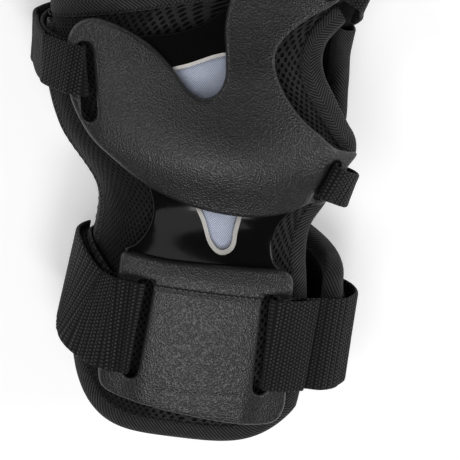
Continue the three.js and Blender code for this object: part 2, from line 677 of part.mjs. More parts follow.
const UNDER_BAR_OFFSET = 1.3; // middle of a strap below a slot's bar
const ELASTIC_END_OFFSET = 3.15; // between the two layers of the loop
const rightLean = leanOf(RIGHT_FOREARM_SLOT);
const leftLean = leanOf(LEFT_FOREARM_SLOT);

// The strap lies nearer the hand on the little-finger side, where the sleeve starts to widen.
const forearmY = (degrees) => 8 * smooth(degrees, 136, 176) * (1 - smooth(degrees, 215, 262));

const forearmLoopPath = [
  [31.6, UNDER_BAR_OFFSET], [29, UNDER_BAR_OFFSET], [26, UNDER_BAR_OFFSET], [23.3, 2.1], [22.9, 4],
  [23.3, 6], [25.6, 6.6], [29.5, 6.6], [33.5, 5.9], [38, 4.95],
].map(([x, offset]) => palmStation(x, 0, offset, rightLean));

const forearmStrapPath = [
  palmStation(33.5, 0, ELASTIC_END_OFFSET),
  palmStation(38.5, 0, ELASTIC_END_OFFSET),
  { p: vector(44, 0, 42.4), width: vector(0, 1, 0) },
  { p: vector(48.9, 0, 38.6), width: vector(0, 1, 0) },
  ...steps(380, 136, 18).map((degrees) => aroundStation(forearmY(degrees), degrees, STRAP_OFFSET)),
  ...[[-25.5, 1.1], [-21.6, 2], [-21.2, 4], [-21.6, 6], [-23.4, 6.55], [-24.6, 6.6]].map(
    ([x, offset]) => palmStation(x, 0, offset, leftLean),
  ),
];

const forearmTabPath = [
  ...[[-24.9, 6.6], [-27.5, 6.6], [-30.5, 6.3]].map(([x, offset]) => palmStation(x, 0, offset, leftLean)),
  ...steps(148, 208, 8).map((degrees) => aroundStation(forearmY(degrees), degrees, TAB_OFFSET)),
];

function addStrap(name, path, width) {
  addNode(name, strap(path, width, WEBBING), WEBBING_COLOUR, 0.75);
}

// The stretch round the sleeve, in degrees, over which a strap and its tab hold each other.
const FOREARM_HOLD = [166, 205];
const HAND_HOLD = [194, 220];

// A hook or loop patch between a strap and its tab, on the little-finger side.
function addPatch(name, yAt, hold, width, offset) {
  const path = steps(...hold, 6).map((degrees) => aroundStation(yAt(degrees), degrees, offset + PATCH / 2));
  addNode(name, strap(path, width, PATCH), LINING_COLOUR, 0.95);
}

addStrap("forearm_strap_loop", forearmLoopPath, FOREARM_STRAP_WIDTH);
addStrap("forearm_strap", forearmStrapPath, FOREARM_STRAP_WIDTH);
addStrap("forearm_strap_tab", forearmTabPath, FOREARM_STRAP_WIDTH);
addPatch("forearm_loop_patch", forearmY, FOREARM_HOLD, FOREARM_STRAP_WIDTH - 4, LOOP_PATCH_OFFSET);
addPatch("forearm_hook_patch", forearmY, FOREARM_HOLD, FOREARM_STRAP_WIDTH - 4, HOOK_PATCH_OFFSET);

// ---- Hand strap: from the index-finger arm round the back of the hand to the left ear ----

const indexLean = leanOf(INDEX_SLOT);
const handLean = leanOf(HAND_SLOT);
const INDEX_TURN = { x: 30.3, y: 124 };
const handStrapY = (degrees) => 82 + 34.6 * clamp((degrees - 150) / 220, 0, 1) ** 1.3;

const handStrapPath = [
  ...[[36, 1.5], [33.4, 2.2], [30.8, 3.2], [30.2, 5.4], [30.5, 7.5], [32.8, 8.1], [35.8, 8.1], [39.4, 7.4]].map(
    ([x, offset]) => palmStation(x, INDEX_TURN.y - indexLean * (x - INDEX_TURN.x), offset, indexLean),
  ),
  ...steps(372, 156, 16).map((degrees) => aroundStation(handStrapY(degrees), degrees, STRAP_OFFSET)),
  ...[[-52.6, 1.3], [-49.9, 1.8], [-48.9, 4], [-49.5, 6.5], [-51, 7], [-52.2, 7]].map(([x, offset]) =>
    palmStation(x, 82, offset, handLean),
  ),
];

// The tab lies on the strap round the side and lifts off it over the patches.
const handTabOffset = curveThrough([158, 166, 183, 193], [4.9, 3.4, 3.4, TAB_OFFSET]);

const handTabPath = [
  ...[[-52.5, 7], [-54.6, 6.7]].map(([x, offset]) => palmStation(x, 82, offset, handLean)),
  ...steps(158, 222, 12).map((degrees) => aroundStation(handStrapY(degrees), degrees, handTabOffset(degrees))),
];

addStrap("hand_strap", handStrapPath, HAND_STRAP_WIDTH);
addStrap("hand_strap_tab", handTabPath, HAND_STRAP_WIDTH);
addPatch("hand_loop_patch", handStrapY, HAND_HOLD, HAND_STRAP_WIDTH - 4, LOOP_PATCH_OFFSET);
addPatch("hand_hook_patch", handStrapY, HAND_HOLD, HAND_STRAP_WIDTH - 4, HOOK_PATCH_OFFSET);

// ---- Wrist strap: from the slot below the thumb to the back panel ----

const wristLean = leanOf(WRIST_SLOT);
const wristStrapPath = [
  ...[[36.8, 1.25], [35.7, 1.3], [34.3, 2], [33.7, 4.4], [34, 7], [35.7, 8.2], [38.5, 7.6]].map(([x, offset]) =>
    palmStation(x, 57 - wristLean * (x - 34.4), offset, wristLean),
  ),
  { p: vector(42.6, 53.9, 45), width: vector(0.25, 1, 0) },
  { p: vector(43.6, 53, 37), width: vector(0.1, 1, 0) },
  { p: vector(42.6, 52.2, 29), width: vector(0, 1, 0) },
  ...steps(350, 306, 4).map((degrees) => aroundStation(51.6, degrees, 2.8)),
];
addStrap("wrist_strap", wristStrapPath, WRIST_STRAP_WIDTH);

export default wristGuard;
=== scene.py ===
import math

import bpy
import numpy as np
from mathutils import Matrix, Vector
from mathutils.geometry import delaunay_2d_cdt


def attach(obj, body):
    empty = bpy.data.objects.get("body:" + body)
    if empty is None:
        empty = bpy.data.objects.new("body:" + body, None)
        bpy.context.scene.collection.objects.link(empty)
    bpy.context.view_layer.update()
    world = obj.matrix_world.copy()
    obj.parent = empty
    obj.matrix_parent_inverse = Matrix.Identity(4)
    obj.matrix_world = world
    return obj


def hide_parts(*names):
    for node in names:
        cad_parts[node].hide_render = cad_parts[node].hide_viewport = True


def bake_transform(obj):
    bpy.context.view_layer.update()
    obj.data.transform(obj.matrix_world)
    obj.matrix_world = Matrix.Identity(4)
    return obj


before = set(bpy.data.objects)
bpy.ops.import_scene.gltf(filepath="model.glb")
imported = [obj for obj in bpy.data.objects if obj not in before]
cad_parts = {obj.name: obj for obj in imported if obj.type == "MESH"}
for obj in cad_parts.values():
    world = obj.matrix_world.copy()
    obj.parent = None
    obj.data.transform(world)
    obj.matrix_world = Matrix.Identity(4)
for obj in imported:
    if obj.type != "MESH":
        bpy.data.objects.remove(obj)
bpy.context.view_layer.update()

# Lengths below are in millimetres, as in the CAD source, and MM turns them into metres.
MM = 0.001
GUARD, FOREARM_TAB, HAND_TAB = "guard", "forearm_tab", "hand_tab"

# ---- Driving dimensions, repeated from the CAD source ----

GAP = 0.3
WEBBING = 1.4
FOREARM_STRAP_WIDTH, HAND_STRAP_WIDTH, WRIST_STRAP_WIDTH = 32, 16, 12
PATCH, PATCH_GAP = 0.6, 0.5
PLATE, SPLINT = 2.6, 2.4
PANEL = 6.5  # shell fabric, foam and lining together
EDGE_BINDING_WIDTH, THUMB_BINDING_WIDTH, FINGER_BINDING_WIDTH = 4.5, 7, 10
BINDING_DEPTH = 7.1
BINDING_PROUD = 0.3
TAPE, TAPE_SQUARENESS = 0.9, 2.6  # a folded tape's thickness, and how square its fold is
SPLINT_OFFSET = 1.4
PLATE_OFFSET = SPLINT_OFFSET + SPLINT + GAP
PLATE_EDGE_OFFSET = 3
INSERT_OFFSET = 0.5
STRAP_OFFSET = 1.4
BACK_Z = STRAP_OFFSET + WEBBING / 2
LOOP_PATCH_OFFSET = STRAP_OFFSET + WEBBING / 2 + PATCH_GAP
HOOK_PATCH_OFFSET = LOOP_PATCH_OFFSET + PATCH + PATCH_GAP
TAB_OFFSET = HOOK_PATCH_OFFSET + PATCH + PATCH_GAP + WEBBING / 2
SQUARENESS = 2.4
BACK_CUT = 1.5
THUMB_WEB_Y = 116
SEAM_DEGREES = 3.7  # each panel stops this far from the side of the sleeve
SEAM_ENDS = (-11, 93)
FOREARM_END_Y = -34.5
FOREARM_HOLD, HAND_HOLD = (166, 205), (194, 220)  # where the patches lie, in degrees round the sleeve
INSERT = 0.6
WIDTH_REACH = 8  # a strap's width direction is measured between places this far to each side
NORMAL_STEP = 1.5  # degrees to each side, between which the surface's direction is measured
SIDE_SHARE, STEEPEST = 0.97, 1.8  # palm_height stops falling, and stops thickening, near the sides

SECTION_Y = [-40, -15, 5, 24, 40, 60, 84, 106, 140]
SECTION = {
    "left": [-38, -39, -38.5, -37, -38, -53.5, -61.5, -60.5, -53],
    "palm_right": [44, 46, 45, 42, 38, 45, 45, 40, 43],
    "back_right": [44, 51, 52, 46, 33, 42, 42, 39, 43],
    "crown": [0, 0, 0, 0, -2, -6, -8, -10, -6],
    "top": [42, 46, 48, 48, 46, 51, 48, 42, 35],
}
PALM_EDGE_Y = [-36, -20, 0, 18, 30, 40, 48, 60, 66, 72, 80, 87, 95, 103, 110, 116]
PALM_EDGE_X = [33, 35, 34, 31, 29, 30, 34, 39, 39, 35, 28, 23, 21, 23, 29, 36]
BACK_EDGE_Y = [-36, -24, -15, -9, 14, 20, 26, 33, 42, 52, 62, 72, 82, 94, 103, 113]
BACK_EDGE_DEGREES = [298, 308, 358, 380, 380, 370, 342, 318, 316, 326, 335, 338, 337, 339, 350, 366]


# ---- The sleeve's surface, as in the CAD source, for whole arrays at once ----


def mix(a, b, t):
    return a + (np.asarray(b) - a) * t


def smooth(x, low, high):
    t = np.clip((np.asarray(x, float) - low) / (high - low), 0, 1)
    return t * t * (3 - 2 * t)


def curve_through(places, values):
    """A cubic through the values, held at its ends."""
    t, v = np.array(places, float), np.array(values, float)
    last = len(t) - 1

    def at(x):
        x = np.clip(np.asarray(x, float), t[0], t[-1])
        i = np.clip(np.searchsorted(t, x, side="right"), 1, last)
        t0, t1 = t[i - 1], t[i]
        before = np.where(i >= 2, i - 2, i)
        after = np.where(i < last, np.minimum(i + 1, last), i - 1)
        half = (t1 - t0) / 2
        w_before = half / (t0 - t[before])
        w_after = half / (t[after] - t1)
        p = (x - t0) / (t1 - t0)
        p2, p3 = p * p, p * p * p
        return (
            v[before] * (-w_before * p3 + 2 * w_before * p2 - w_before * p)
            + v[i - 1] * ((1 + w_before) * p3 + (-1.5 - 2 * w_before) * p2 + (-0.5 + w_before) * p + 1)
            + v[i] * ((-1 - w_after) * p3 + (1.5 + w_after) * p2 + 0.5 * p)
            + v[after] * (w_after * p3 - w_after * p2)
        )

    return at


section = {name: curve_through(SECTION_Y, values) for name, values in SECTION.items()}
palm_edge_x = curve_through(PALM_EDGE_Y, PALM_EDGE_X)
back_edge_degrees = curve_through(BACK_EDGE_Y, BACK_EDGE_DEGREES)


def section_point(y, degrees, on_back):
    top = section["top"](y)
    middle = (top + BACK_Z) / 2
    rise = top - middle
    crown = section["crown"](y)
    c, s = np.cos(np.radians(degrees)), np.sin(np.radians(degrees))
    right = np.where(on_back, section["back_right"](y), section["palm_right"](y))
    reach = np.where(c > 0, right - crown, crown - section["left"](y))
    power = 2 / SQUARENESS
    x = crown + reach * np.sign(c) * np.abs(c) ** power
    tall = np.abs(s) ** power
    return x, np.where(s > 0, middle + rise * tall, middle - (rise + BACK_CUT) * tall)


def skin(y, degrees, offset=0.0, on_back=None):
    """Points of the sleeve's outer surface at an offset outside it."""
    y, degrees, offset = np.broadcast_arrays(*(np.asarray(a, float) for a in (y, degrees, offset)))
    on_back = degrees > 180 if on_back is None else on_back
    x, z = section_point(y, degrees, on_back)
    x0, z0 = section_point(y, degrees - NORMAL_STEP, on_back)
    x1, z1 = section_point(y, degrees + NORMAL_STEP, on_back)
    length = np.hypot(x1 - x0, z1 - z0)
    z = z + offset * (x0 - x1) / length
    return np.stack([x + offset * (z1 - z0) / length, y, np.maximum(z, BACK_Z - offset)], -1)


def palm_share(x, y):
    """A place's share of the way from the crown to the side, with the crown and the way's length."""
    crown = section["crown"](y)
    reach = np.where(x > crown, section["palm_right"](y) - crown, crown - section["left"](y))
    return np.abs(x - crown) / reach, crown, reach


def palm_height(x, y, offset=0.0):
    """The palm side's height over a place, at an offset outside it."""
    x, y = np.asarray(x, float), np.asarray(y, float)
    top = section["top"](y)
    middle = (top + BACK_Z) / 2
    share, _, reach = palm_share(x, y)
    u = np.clip(share, 0, SIDE_SHARE)
    fall = (1 - u**SQUARENESS) ** (1 / SQUARENESS)
    slope = (top - middle) / reach * u ** (SQUARENESS - 1) / fall ** (SQUARENESS - 1)
    return middle + (top - middle) * fall + offset * np.minimum(np.hypot(1, slope), STEEPEST)


def palm_degrees(x, y):
    """The angle round the sleeve of a place on the palm side."""
    share, crown, _ = palm_share(x, y)
    c = np.minimum(share, 1) ** (SQUARENESS / 2)
    return np.degrees(np.arccos(c * np.sign(x - crown)))


def forearm_edge_y(degrees):
    """The forearm end: nearly straight, with corners that turn towards the hand."""
    x = skin(-20, degrees)[..., 0]
    return FOREARM_END_Y + 22 * (np.abs(x + 3) / np.where(x < -3, 36, 44)) ** 4.5


def finger_edge_y(degrees):
    return 113 + 0.3 * skin(120, degrees)[..., 0]


def on_panel(across, along, angle_at, first_y):
    """A place's y and angle, from its shares of the panel: a first guess, brought closer four times."""
    y = mix(-34, 113, along)
    for _ in range(4):
        degrees = angle_at(across, y)
        y = mix(first_y(degrees), finger_edge_y(degrees), along)
    return y, degrees


def palm_panel(across, along, offset=0.0):
    """The palm panel: across from its free right edge to the seam, along from the forearm to the fingers."""

    def angle_at(share, y):
        free = palm_degrees(palm_edge_x(y), y)
        return mix(mix(free, 11, smooth(y, THUMB_WEB_Y - 4, THUMB_WEB_Y + 4)), 180 - SEAM_DEGREES, share)

    y, degrees = on_panel(across, along, angle_at, forearm_edge_y)
    return skin(y, degrees, offset, False)


def back_panel(across, along, offset=0.0):
    """The back panel: across from the seam to its free right edge."""

    def angle_at(share, y):
        return mix(180 + SEAM_DEGREES, back_edge_degrees(y), share)

    def first_y(degrees):
        return forearm_edge_y(np.minimum(degrees, 270))

    y, degrees = on_panel(across, along, angle_at, first_y)
    return skin(y, degrees, offset, True)


# ---- Building meshes ----


def unit(v):
    return v / np.linalg.norm(v, axis=-1, keepdims=True)


def lengths_along(points):
    """The length of a path up to each of its points."""
    return np.concatenate([[0], np.cumsum(np.linalg.norm(np.diff(points, axis=0), axis=1))])


class Build:
    """Collects the points, faces and texture coordinates of one piece."""

    def __init__(self):
        self.points, self.faces, self.uvs, self.kinds, self.count = [], [], [], [], 0

    def add(self, points, faces, uvs=None, kind=0):
        """Points as n by 3; faces as lists of indices into them; uvs as one pair per face corner."""
        self.points.append(np.asarray(points, float).reshape(-1, 3))
        self.add_faces(faces, uvs, kind, self.count)
        self.count += len(self.points[-1])

    def add_faces(self, faces, uvs=None, kind=0, start=0):
        """Faces over points already added, from the one at start; kind is one number, or one per face."""
        for i, face in enumerate(faces):
            self.faces.append([int(k) + start for k in face])
            self.uvs.extend([(0.0, 0.0)] * len(face) if uvs is None else uvs[i])
            self.kinds.append(kind if np.isscalar(kind) else int(kind[i]))

    def finish(self, name, materials, body, slot, replaced=(), rim=None, flip=False, crease=None):
        mesh = bpy.data.meshes.new(name)
        points = np.concatenate(self.points) * MM
        faces, uvs = self.faces, self.uvs
        if flip:
            turned, start = [], 0
            for face in faces:
                turned.extend(reversed(uvs[start : start + len(face)]))
                start += len(face)
            faces, uvs = [face[::-1] for face in faces], turned
        mesh.from_pydata(points.tolist(), [], faces)
        layer = mesh.uv_layers.new(name="UVMap")
        layer.data.foreach_set("uv", np.array(uvs, np.float32).ravel())
        for material in materials:
            mesh.materials.append(material)
        mesh.polygons.foreach_set("material_index", self.kinds)
        mesh.shade_smooth()
        if crease:
            mesh.set_sharp_from_angle(angle=math.radians(crease))
        if rim is not None:
            values = mesh.attributes.new("rim", "FLOAT", "POINT").data
            values.foreach_set("value", np.asarray(rim, np.float32))
        obj = bpy.data.objects.new(name, mesh)
        bpy.context.scene.collection.objects.link(obj)
        if body:
            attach(obj, body)
        if replaced:
            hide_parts(*replaced)
        return obj


def grid_faces(rows, columns):
    i, j = np.meshgrid(np.arange(rows - 1), np.arange(columns - 1), indexing="ij")
    a = (i * columns + j).ravel()
    return np.stack([a, a + columns, a + columns + 1, a + 1], -1)


def grid_uvs(us, vs):
    """Texture coordinates for grid_faces: us along the rows and vs along the columns, in millimetres."""
    u0, v0 = np.meshgrid(us[:-1], vs[:-1], indexing="ij")
    u1, v1 = np.meshgrid(us[1:], vs[1:], indexing="ij")
    corners = [(u0, v0), (u1, v0), (u1, v1), (u0, v1)]
    return np.stack([np.stack([u.ravel(), v.ravel()], -1) for u, v in corners], 1)


def shell(outer, inner, us, vs, kinds=0):
    """A closed thin body from its outer and inner point grids; its inner faces and sides are kind 1."""
    rows, columns = outer.shape[:2]
    size = rows * columns
    quads, uvs = grid_faces(rows, columns), grid_uvs(us, vs)
    border = [i * columns for i in range(rows)] + [(rows - 1) * columns + j for j in range(1, columns)]
    border += [i * columns + columns - 1 for i in range(rows - 2, -1, -1)]
    border += list(range(columns - 2, 0, -1))
    build = Build()
    build.add(np.concatenate([outer.reshape(-1, 3), inner.reshape(-1, 3)]), quads, uvs.tolist(), kinds)
    build.add_faces(quads[:, ::-1] + size, uvs[:, ::-1].tolist(), 1)
    build.add_faces([[a, a + size, b + size, b] for a, b in zip(border, border[1:] + border[:1])], kind=1)
    return build


def sweep(stations, profile, closed=False, bulge=None):
    """A band with the profile [across, outward] along stations (p, across, outward), with its length as u."""
    p, across, outward = stations
    profile = np.asarray(profile, float)
    ring, count = len(profile), len(p)
    shape = np.broadcast_to(profile, (count, ring, 2)) if bulge is None else bulge(profile)
    points = p[:, None] + across[:, None] * shape[..., :1] + outward[:, None] * shape[..., 1:]
    u = lengths_along(np.concatenate([p, p[:1]]))
    v = lengths_along(np.concatenate([profile, profile[:1]]))
    i, k = np.meshgrid(np.arange(count if closed else count - 1), np.arange(ring), indexing="ij")
    j, n = (i + 1) % count, (k + 1) % ring
    quads = np.stack([i * ring + k, j * ring + k, j * ring + n, i * ring + n], -1).reshape(-1, 4)
    corners = [(u[i], v[k]), (u[i + 1], v[k]), (u[i + 1], v[k + 1]), (u[i], v[k + 1])]
    uvs = np.stack([np.stack(corner, -1) for corner in corners], -2).reshape(-1, 4, 2)
    build = Build()
    build.add(points, quads, uvs.tolist())
    if not closed:
        last = (count - 1) * ring
        build.add_faces([range(ring), [last + k for k in reversed(range(ring))]])
    return build


def outward_volume(build):
    """Six times the volume that the faces enclose, negative where they look inwards."""
    points = np.concatenate(build.points)
    total = 0.0
    for face in build.faces:
        a = points[face[0]]
        for b, c in zip(face[1:], face[2:]):
            total += np.dot(a, np.cross(points[b], points[c]))
    return total


def finish_closed(build, *args, **kwargs):
    """Finishes a closed piece, turned so that its faces look outwards."""
    return build.finish(*args, flip=outward_volume(build) < 0, **kwargs)


# ---- Paths ----


def catmull(points, t, closed=False):
    """Points of a centripetal Catmull-Rom curve at parameters from 0 to 1."""
    points = np.asarray(points, float)
    size = len(points)
    place = np.asarray(t, float) * (size if closed else size - 1)
    index = np.floor(place).astype(int)
    if not closed:
        index = np.minimum(index, size - 2)
    weight = (place - index)[:, None]

    def control(k):
        if closed:
            return points[k % size]
        first = 2 * points[0] - points[1]
        last = 2 * points[-1] - points[-2]
        inside = points[np.clip(k, 0, size - 1)]
        return np.where((k < 0)[:, None], first, np.where((k > size - 1)[:, None], last, inside))

    p0, p1, p2, p3 = (control(index + k) for k in (-1, 0, 1, 2))
    gap = [np.sum((b - a) ** 2, axis=1, keepdims=True) ** 0.25 for a, b in ((p0, p1), (p1, p2), (p2, p3))]
    d1 = np.where(gap[1] < 1e-4, 1.0, gap[1])
    d0 = np.where(gap[0] < 1e-4, d1, gap[0])
    d2 = np.where(gap[2] < 1e-4, d1, gap[2])
    m1 = ((p1 - p0) / d0 - (p2 - p0) / (d0 + d1) + (p2 - p1) / d1) * d1
    m2 = ((p2 - p1) / d1 - (p3 - p1) / (d1 + d2) + (p3 - p2) / d2) * d1
    w2, w3 = weight**2, weight**3
    return p1 + m1 * weight + (-3 * p1 + 3 * p2 - 2 * m1 - m2) * w2 + (2 * p1 - 2 * p2 + m1 + m2) * w3


def around_station(y, degrees, offset):
    """A strap's station on the sleeve's surface, as its place and its width direction."""
    ahead, behind = (skin(y + step, degrees, offset) for step in (WIDTH_REACH, -WIDTH_REACH))
    return skin(y, degrees, offset), ahead - behind


def palm_station(x, y, offset, lean=0.0):
    """A strap's station over the palm side, leaning in x as its slot does."""

    def at(step):
        return np.array([x + lean * step, y + step, palm_height(x + lean * step, y + step, offset)])

    return at(0), at(WIDTH_REACH) - at(-WIDTH_REACH)


def free_station(place, lean=0.0):
    """A strap's station in the air, away from the sleeve."""
    return np.array(place), np.array([lean, 1, 0])


DENSE_STEPS = 60


def even_stations(route, spacing):
    """Evenly spaced stations (p, across, outward) of the smooth path through the given ones."""
    places = np.array([p for p, _ in route])
    widths = unit(np.array([w for _, w in route]))
    t = np.linspace(0, 1, DENSE_STEPS * len(route))
    dense = catmull(places, t)
    dense[:, 2] = np.maximum(dense[:, 2], places[:, 2].min())
    lengths = lengths_along(dense)
    even = np.linspace(0, lengths[-1], max(int(lengths[-1] / spacing), 2) + 1)
    p = np.stack([np.interp(even, lengths, dense[:, k]) for k in range(3)], -1)
    place = np.interp(even, lengths, t) * (len(route) - 1)
    index = np.minimum(place.astype(int), len(route) - 2)
    across = mix(widths[index], widths[index + 1], (place - index)[:, None])
    tangent = unit(np.gradient(p, axis=0))
    across = unit(across - np.sum(across * tangent, axis=1, keepdims=True) * tangent)
    return p, across, np.cross(across, tangent)


def strap_profile(width, thickness, per_side):
    """A flat band with rounded sides, as [across, outward]."""
    half, radius = width / 2, thickness / 2
    flat = np.linspace(-half + radius, half - radius, per_side)
    arc = np.radians([-60, -20, 20, 60])
    low = [(a, -radius) for a in flat]
    right = [(half - radius + radius * math.cos(a), radius * math.sin(a)) for a in arc]
    high = [(a, radius) for a in flat[::-1]]
    left = [(-half + radius - radius * math.cos(a), -radius * math.sin(a)) for a in arc]
    return low + right + high + left


def binding_profile(width, overlap):
    """A folded tape, open towards the panel whose edge it holds."""
    middle, half = BINDING_PROUD - BINDING_DEPTH / 2, BINDING_DEPTH / 2
    centre, reach = (width - overlap) / 2, (width + overlap) / 2
    turn = np.radians(np.linspace(-150, 150, 25))
    power = 2 / TAPE_SQUARENESS

    def arc(rx, rz):
        c, s = np.cos(turn), np.sin(turn)
        x = centre + rx * np.sign(c) * np.abs(c) ** power
        return np.stack([x, middle + rz * np.sign(s) * np.abs(s) ** power], -1)

    return np.concatenate([arc(reach, half), arc(reach - TAPE, half - TAPE)[::-1]])


EDGE_STEP = 0.02  # the share of a panel, in from its edge, at which its direction is measured


def edge_stations(surface, edge, shares):
    """Stations along a panel's edge; the width direction leads away from the panel, along its surface."""
    u, v, du, dv = edge(shares)
    p = surface(u, v)
    u, v = u - du * EDGE_STEP, v - dv * EDGE_STEP
    inner = surface(u, v)
    outward = unit(surface(u, v, 1.0) - inner)
    tangent = unit(np.gradient(p, axis=0))
    across = unit(np.cross(outward, tangent))
    side = np.sign(np.sum(across * (p - inner), axis=1, keepdims=True))
    return p, across * side, outward


def palm_free_edge(t):
    """Negative shares run along the forearm end and positive ones up the wrist."""
    end = t < 0
    return np.where(end, -t, 0), np.where(end, 0, t), np.where(end, 0, -1), np.where(end, -1, 0)


def back_free_edge(t):
    """Shares up to 1 run along the forearm end, and those beyond 1 up the flap."""
    end = t < 1
    return np.where(end, t, 1), np.where(end, 0, t - 1), np.where(end, 0, 1), np.where(end, -1, 0)


# ---- Materials ----


class Material:
    """A Principled material with short ways to add procedural nodes."""

    def __init__(self, name, **values):
        self.data = bpy.data.materials.new(name)
        self.data.use_nodes = True
        self.tree = self.data.node_tree
        self.tree.nodes.clear()
        self.shader = self.tree.nodes.new("ShaderNodeBsdfPrincipled")
        output = self.tree.nodes.new("ShaderNodeOutputMaterial")
        self.tree.links.new(self.shader.outputs[0], output.inputs[0])
        for socket, value in values.items():
            self.shader.inputs[socket.replace("_", " ")].default_value = value

    def node(self, kind, inputs=(), output=0, **settings):
        node = self.tree.nodes.new("ShaderNode" + kind)
        for key, value in settings.items():
            setattr(node, key, value)
        for socket, value in dict(inputs).items():
            if isinstance(value, bpy.types.NodeSocket):
                self.tree.links.new(value, node.inputs[socket])
            else:
                node.inputs[socket].default_value = value
        return node.outputs[output]

    def math(self, operation, a, b=0.0, clamp=False):
        return self.node("Math", {0: a, 1: b}, operation=operation, use_clamp=clamp)

    def multiply_add(self, a, b, c):
        return self.node("Math", {0: a, 1: b, 2: c}, operation="MULTIPLY_ADD")

    def split(self, vector):
        """A vector's three parts."""
        node = self.tree.nodes.new("ShaderNodeSeparateXYZ")
        self.tree.links.new(vector, node.inputs[0])
        return list(node.outputs)

    def uv(self):
        """The texture coordinates in millimetres: along and across."""
        return self.split(self.node("UVMap", uv_map="UVMap"))[:2]

    def place(self):
        """The place in the row frame, in metres."""
        return self.node("TexCoord", output=3)

    def noise(self, scale, detail=3.0, roughness=0.55, vector=None):
        inputs = {"Scale": scale, "Detail": detail, "Roughness": roughness}
        inputs["Vector"] = self.place() if vector is None else vector
        return self.node("TexNoise", inputs)

    def wave(self, x, pitch, shift=0.0):
        """From 0 to 1 and back over each pitch."""
        turn = self.multiply_add(x, 2 * math.pi / pitch, shift)
        return self.multiply_add(self.math("COSINE", turn), 0.5, 0.5)

    def fit(self, x, low, high, new_low=0.0, new_high=1.0):
        values = {0: x, 1: low, 2: high, 3: new_low, 4: new_high}
        return self.node("MapRange", values, interpolation_type="SMOOTHSTEP")

    def mottled(self, factor, scale, detail=3, low=0.5, high=1.0):
        """A factor made weaker in soft patches."""
        return self.math("MULTIPLY", factor, self.fit(self.noise(scale, detail), 0.2, 0.8, low, high))

    def colour(self, factor, low, high):
        """The base colour, between two colours."""
        mixed = self.tree.nodes.new("ShaderNodeMix")
        mixed.data_type = "RGBA"
        self.tree.links.new(factor, mixed.inputs[0])
        mixed.inputs[6].default_value = (*low, 1)
        mixed.inputs[7].default_value = (*high, 1)
        self.tree.links.new(mixed.outputs[2], self.shader.inputs["Base Color"])

    def roughness(self, factor, low, high):
        self.tree.links.new(self.fit(factor, 0, 1, low, high), self.shader.inputs["Roughness"])

    def bump(self, *heights):
        """Bumps of (height, distance in millimetres), one on top of the other."""
        normal = None
        for height, distance in heights:
            inputs = {"Height": height, "Distance": distance * MM, "Strength": 1.0}
            if normal is not None:
                inputs["Normal"] = normal
            normal = self.node("Bump", inputs)
        self.tree.links.new(normal, self.shader.inputs["Normal"])


def grained_plastic():
    """Satin moulded plastic with a fine leathery grain, and a painted highlight that makes its edges paler.
    """
    m = Material("grained_plastic", Specular_IOR_Level=0.5)
    cells = m.node("TexVoronoi", {"Vector": m.place(), "Scale": 1700.0}, feature="F1")
    fine = m.noise(2400, 2)
    grain = m.math("ADD", cells, m.math("MULTIPLY", fine, 0.6))
    # Painted highlight: within about 1.3 mm of the plate's edges, read from the rim attribute, the colour is
    # painted paler, standing in for light caught on the rounded rims.
    edge = m.fit(m.node("Attribute", attribute_name="rim", output=2), 0.1, 1.3, 0.5, 0)
    speck = m.math("MULTIPLY", m.fit(grain, 0.45, 1.05), m.fit(m.noise(60, 4), 0.3, 0.7, 0.5, 1))
    m.colour(m.math("ADD", speck, edge, True), (0.002, 0.002, 0.0022), (0.017, 0.017, 0.0175))
    m.roughness(m.fit(grain, 0.4, 1.0), 0.56, 0.33)
    m.bump((grain, 0.14), (m.noise(190, 2), 0.015))
    return m.data


def gloss_plastic():
    """Polished plastic with faint rubbed streaks and dust."""
    m = Material("gloss_plastic", Specular_IOR_Level=0.11)
    stretched = m.node("Mapping", {"Vector": m.place(), "Scale": (900.0, 70.0, 300.0)})
    streaks = m.noise(1.0, 4, 0.6, stretched)
    m.colour(m.noise(45, 3), (0.0015, 0.0015, 0.0016), (0.005, 0.005, 0.0052))
    m.roughness(m.math("MULTIPLY", streaks, m.noise(110, 2)), 0.1, 0.3)
    m.bump((m.noise(70, 2), 0.02), (streaks, 0.004))
    return m.data


def painted_window_reflection():
    """The splint's sloping window edges, painted pale as a painted reflection, with fine tool marks."""
    m = Material("painted_window_reflection", Roughness=0.35)
    marks = m.noise(1.0, 3, 0.6, m.node("Mapping", {"Vector": m.place(), "Scale": (400.0, 400.0, 3500.0)}))
    m.colour(marks, (0.42, 0.40, 0.37), (0.78, 0.76, 0.72))
    m.bump((marks, 0.03))
    return m.data


WOVEN = {"Specular_IOR_Level": 0.3, "Sheen_Weight": 0.05}


def twill_insert():
    """Pale blue-grey herringbone twill."""
    m = Material("twill_insert", Roughness=0.75, Sheen_Roughness=0.5, **WOVEN)
    x, y, _ = m.split(m.place())
    twill = m.wave(m.math("ADD", y, m.math("PINGPONG", x, 5.5 * MM)), 0.75 * MM)
    thread = m.wave(m.math("SUBTRACT", x, y), 0.5 * MM)
    height = m.multiply_add(thread, 0.25, twill)
    shade = m.mottled(height, 700, 2, 0.75)
    m.colour(shade, (0.24, 0.265, 0.35), (0.56, 0.60, 0.73))
    m.bump((height, 0.08))
    return m.data


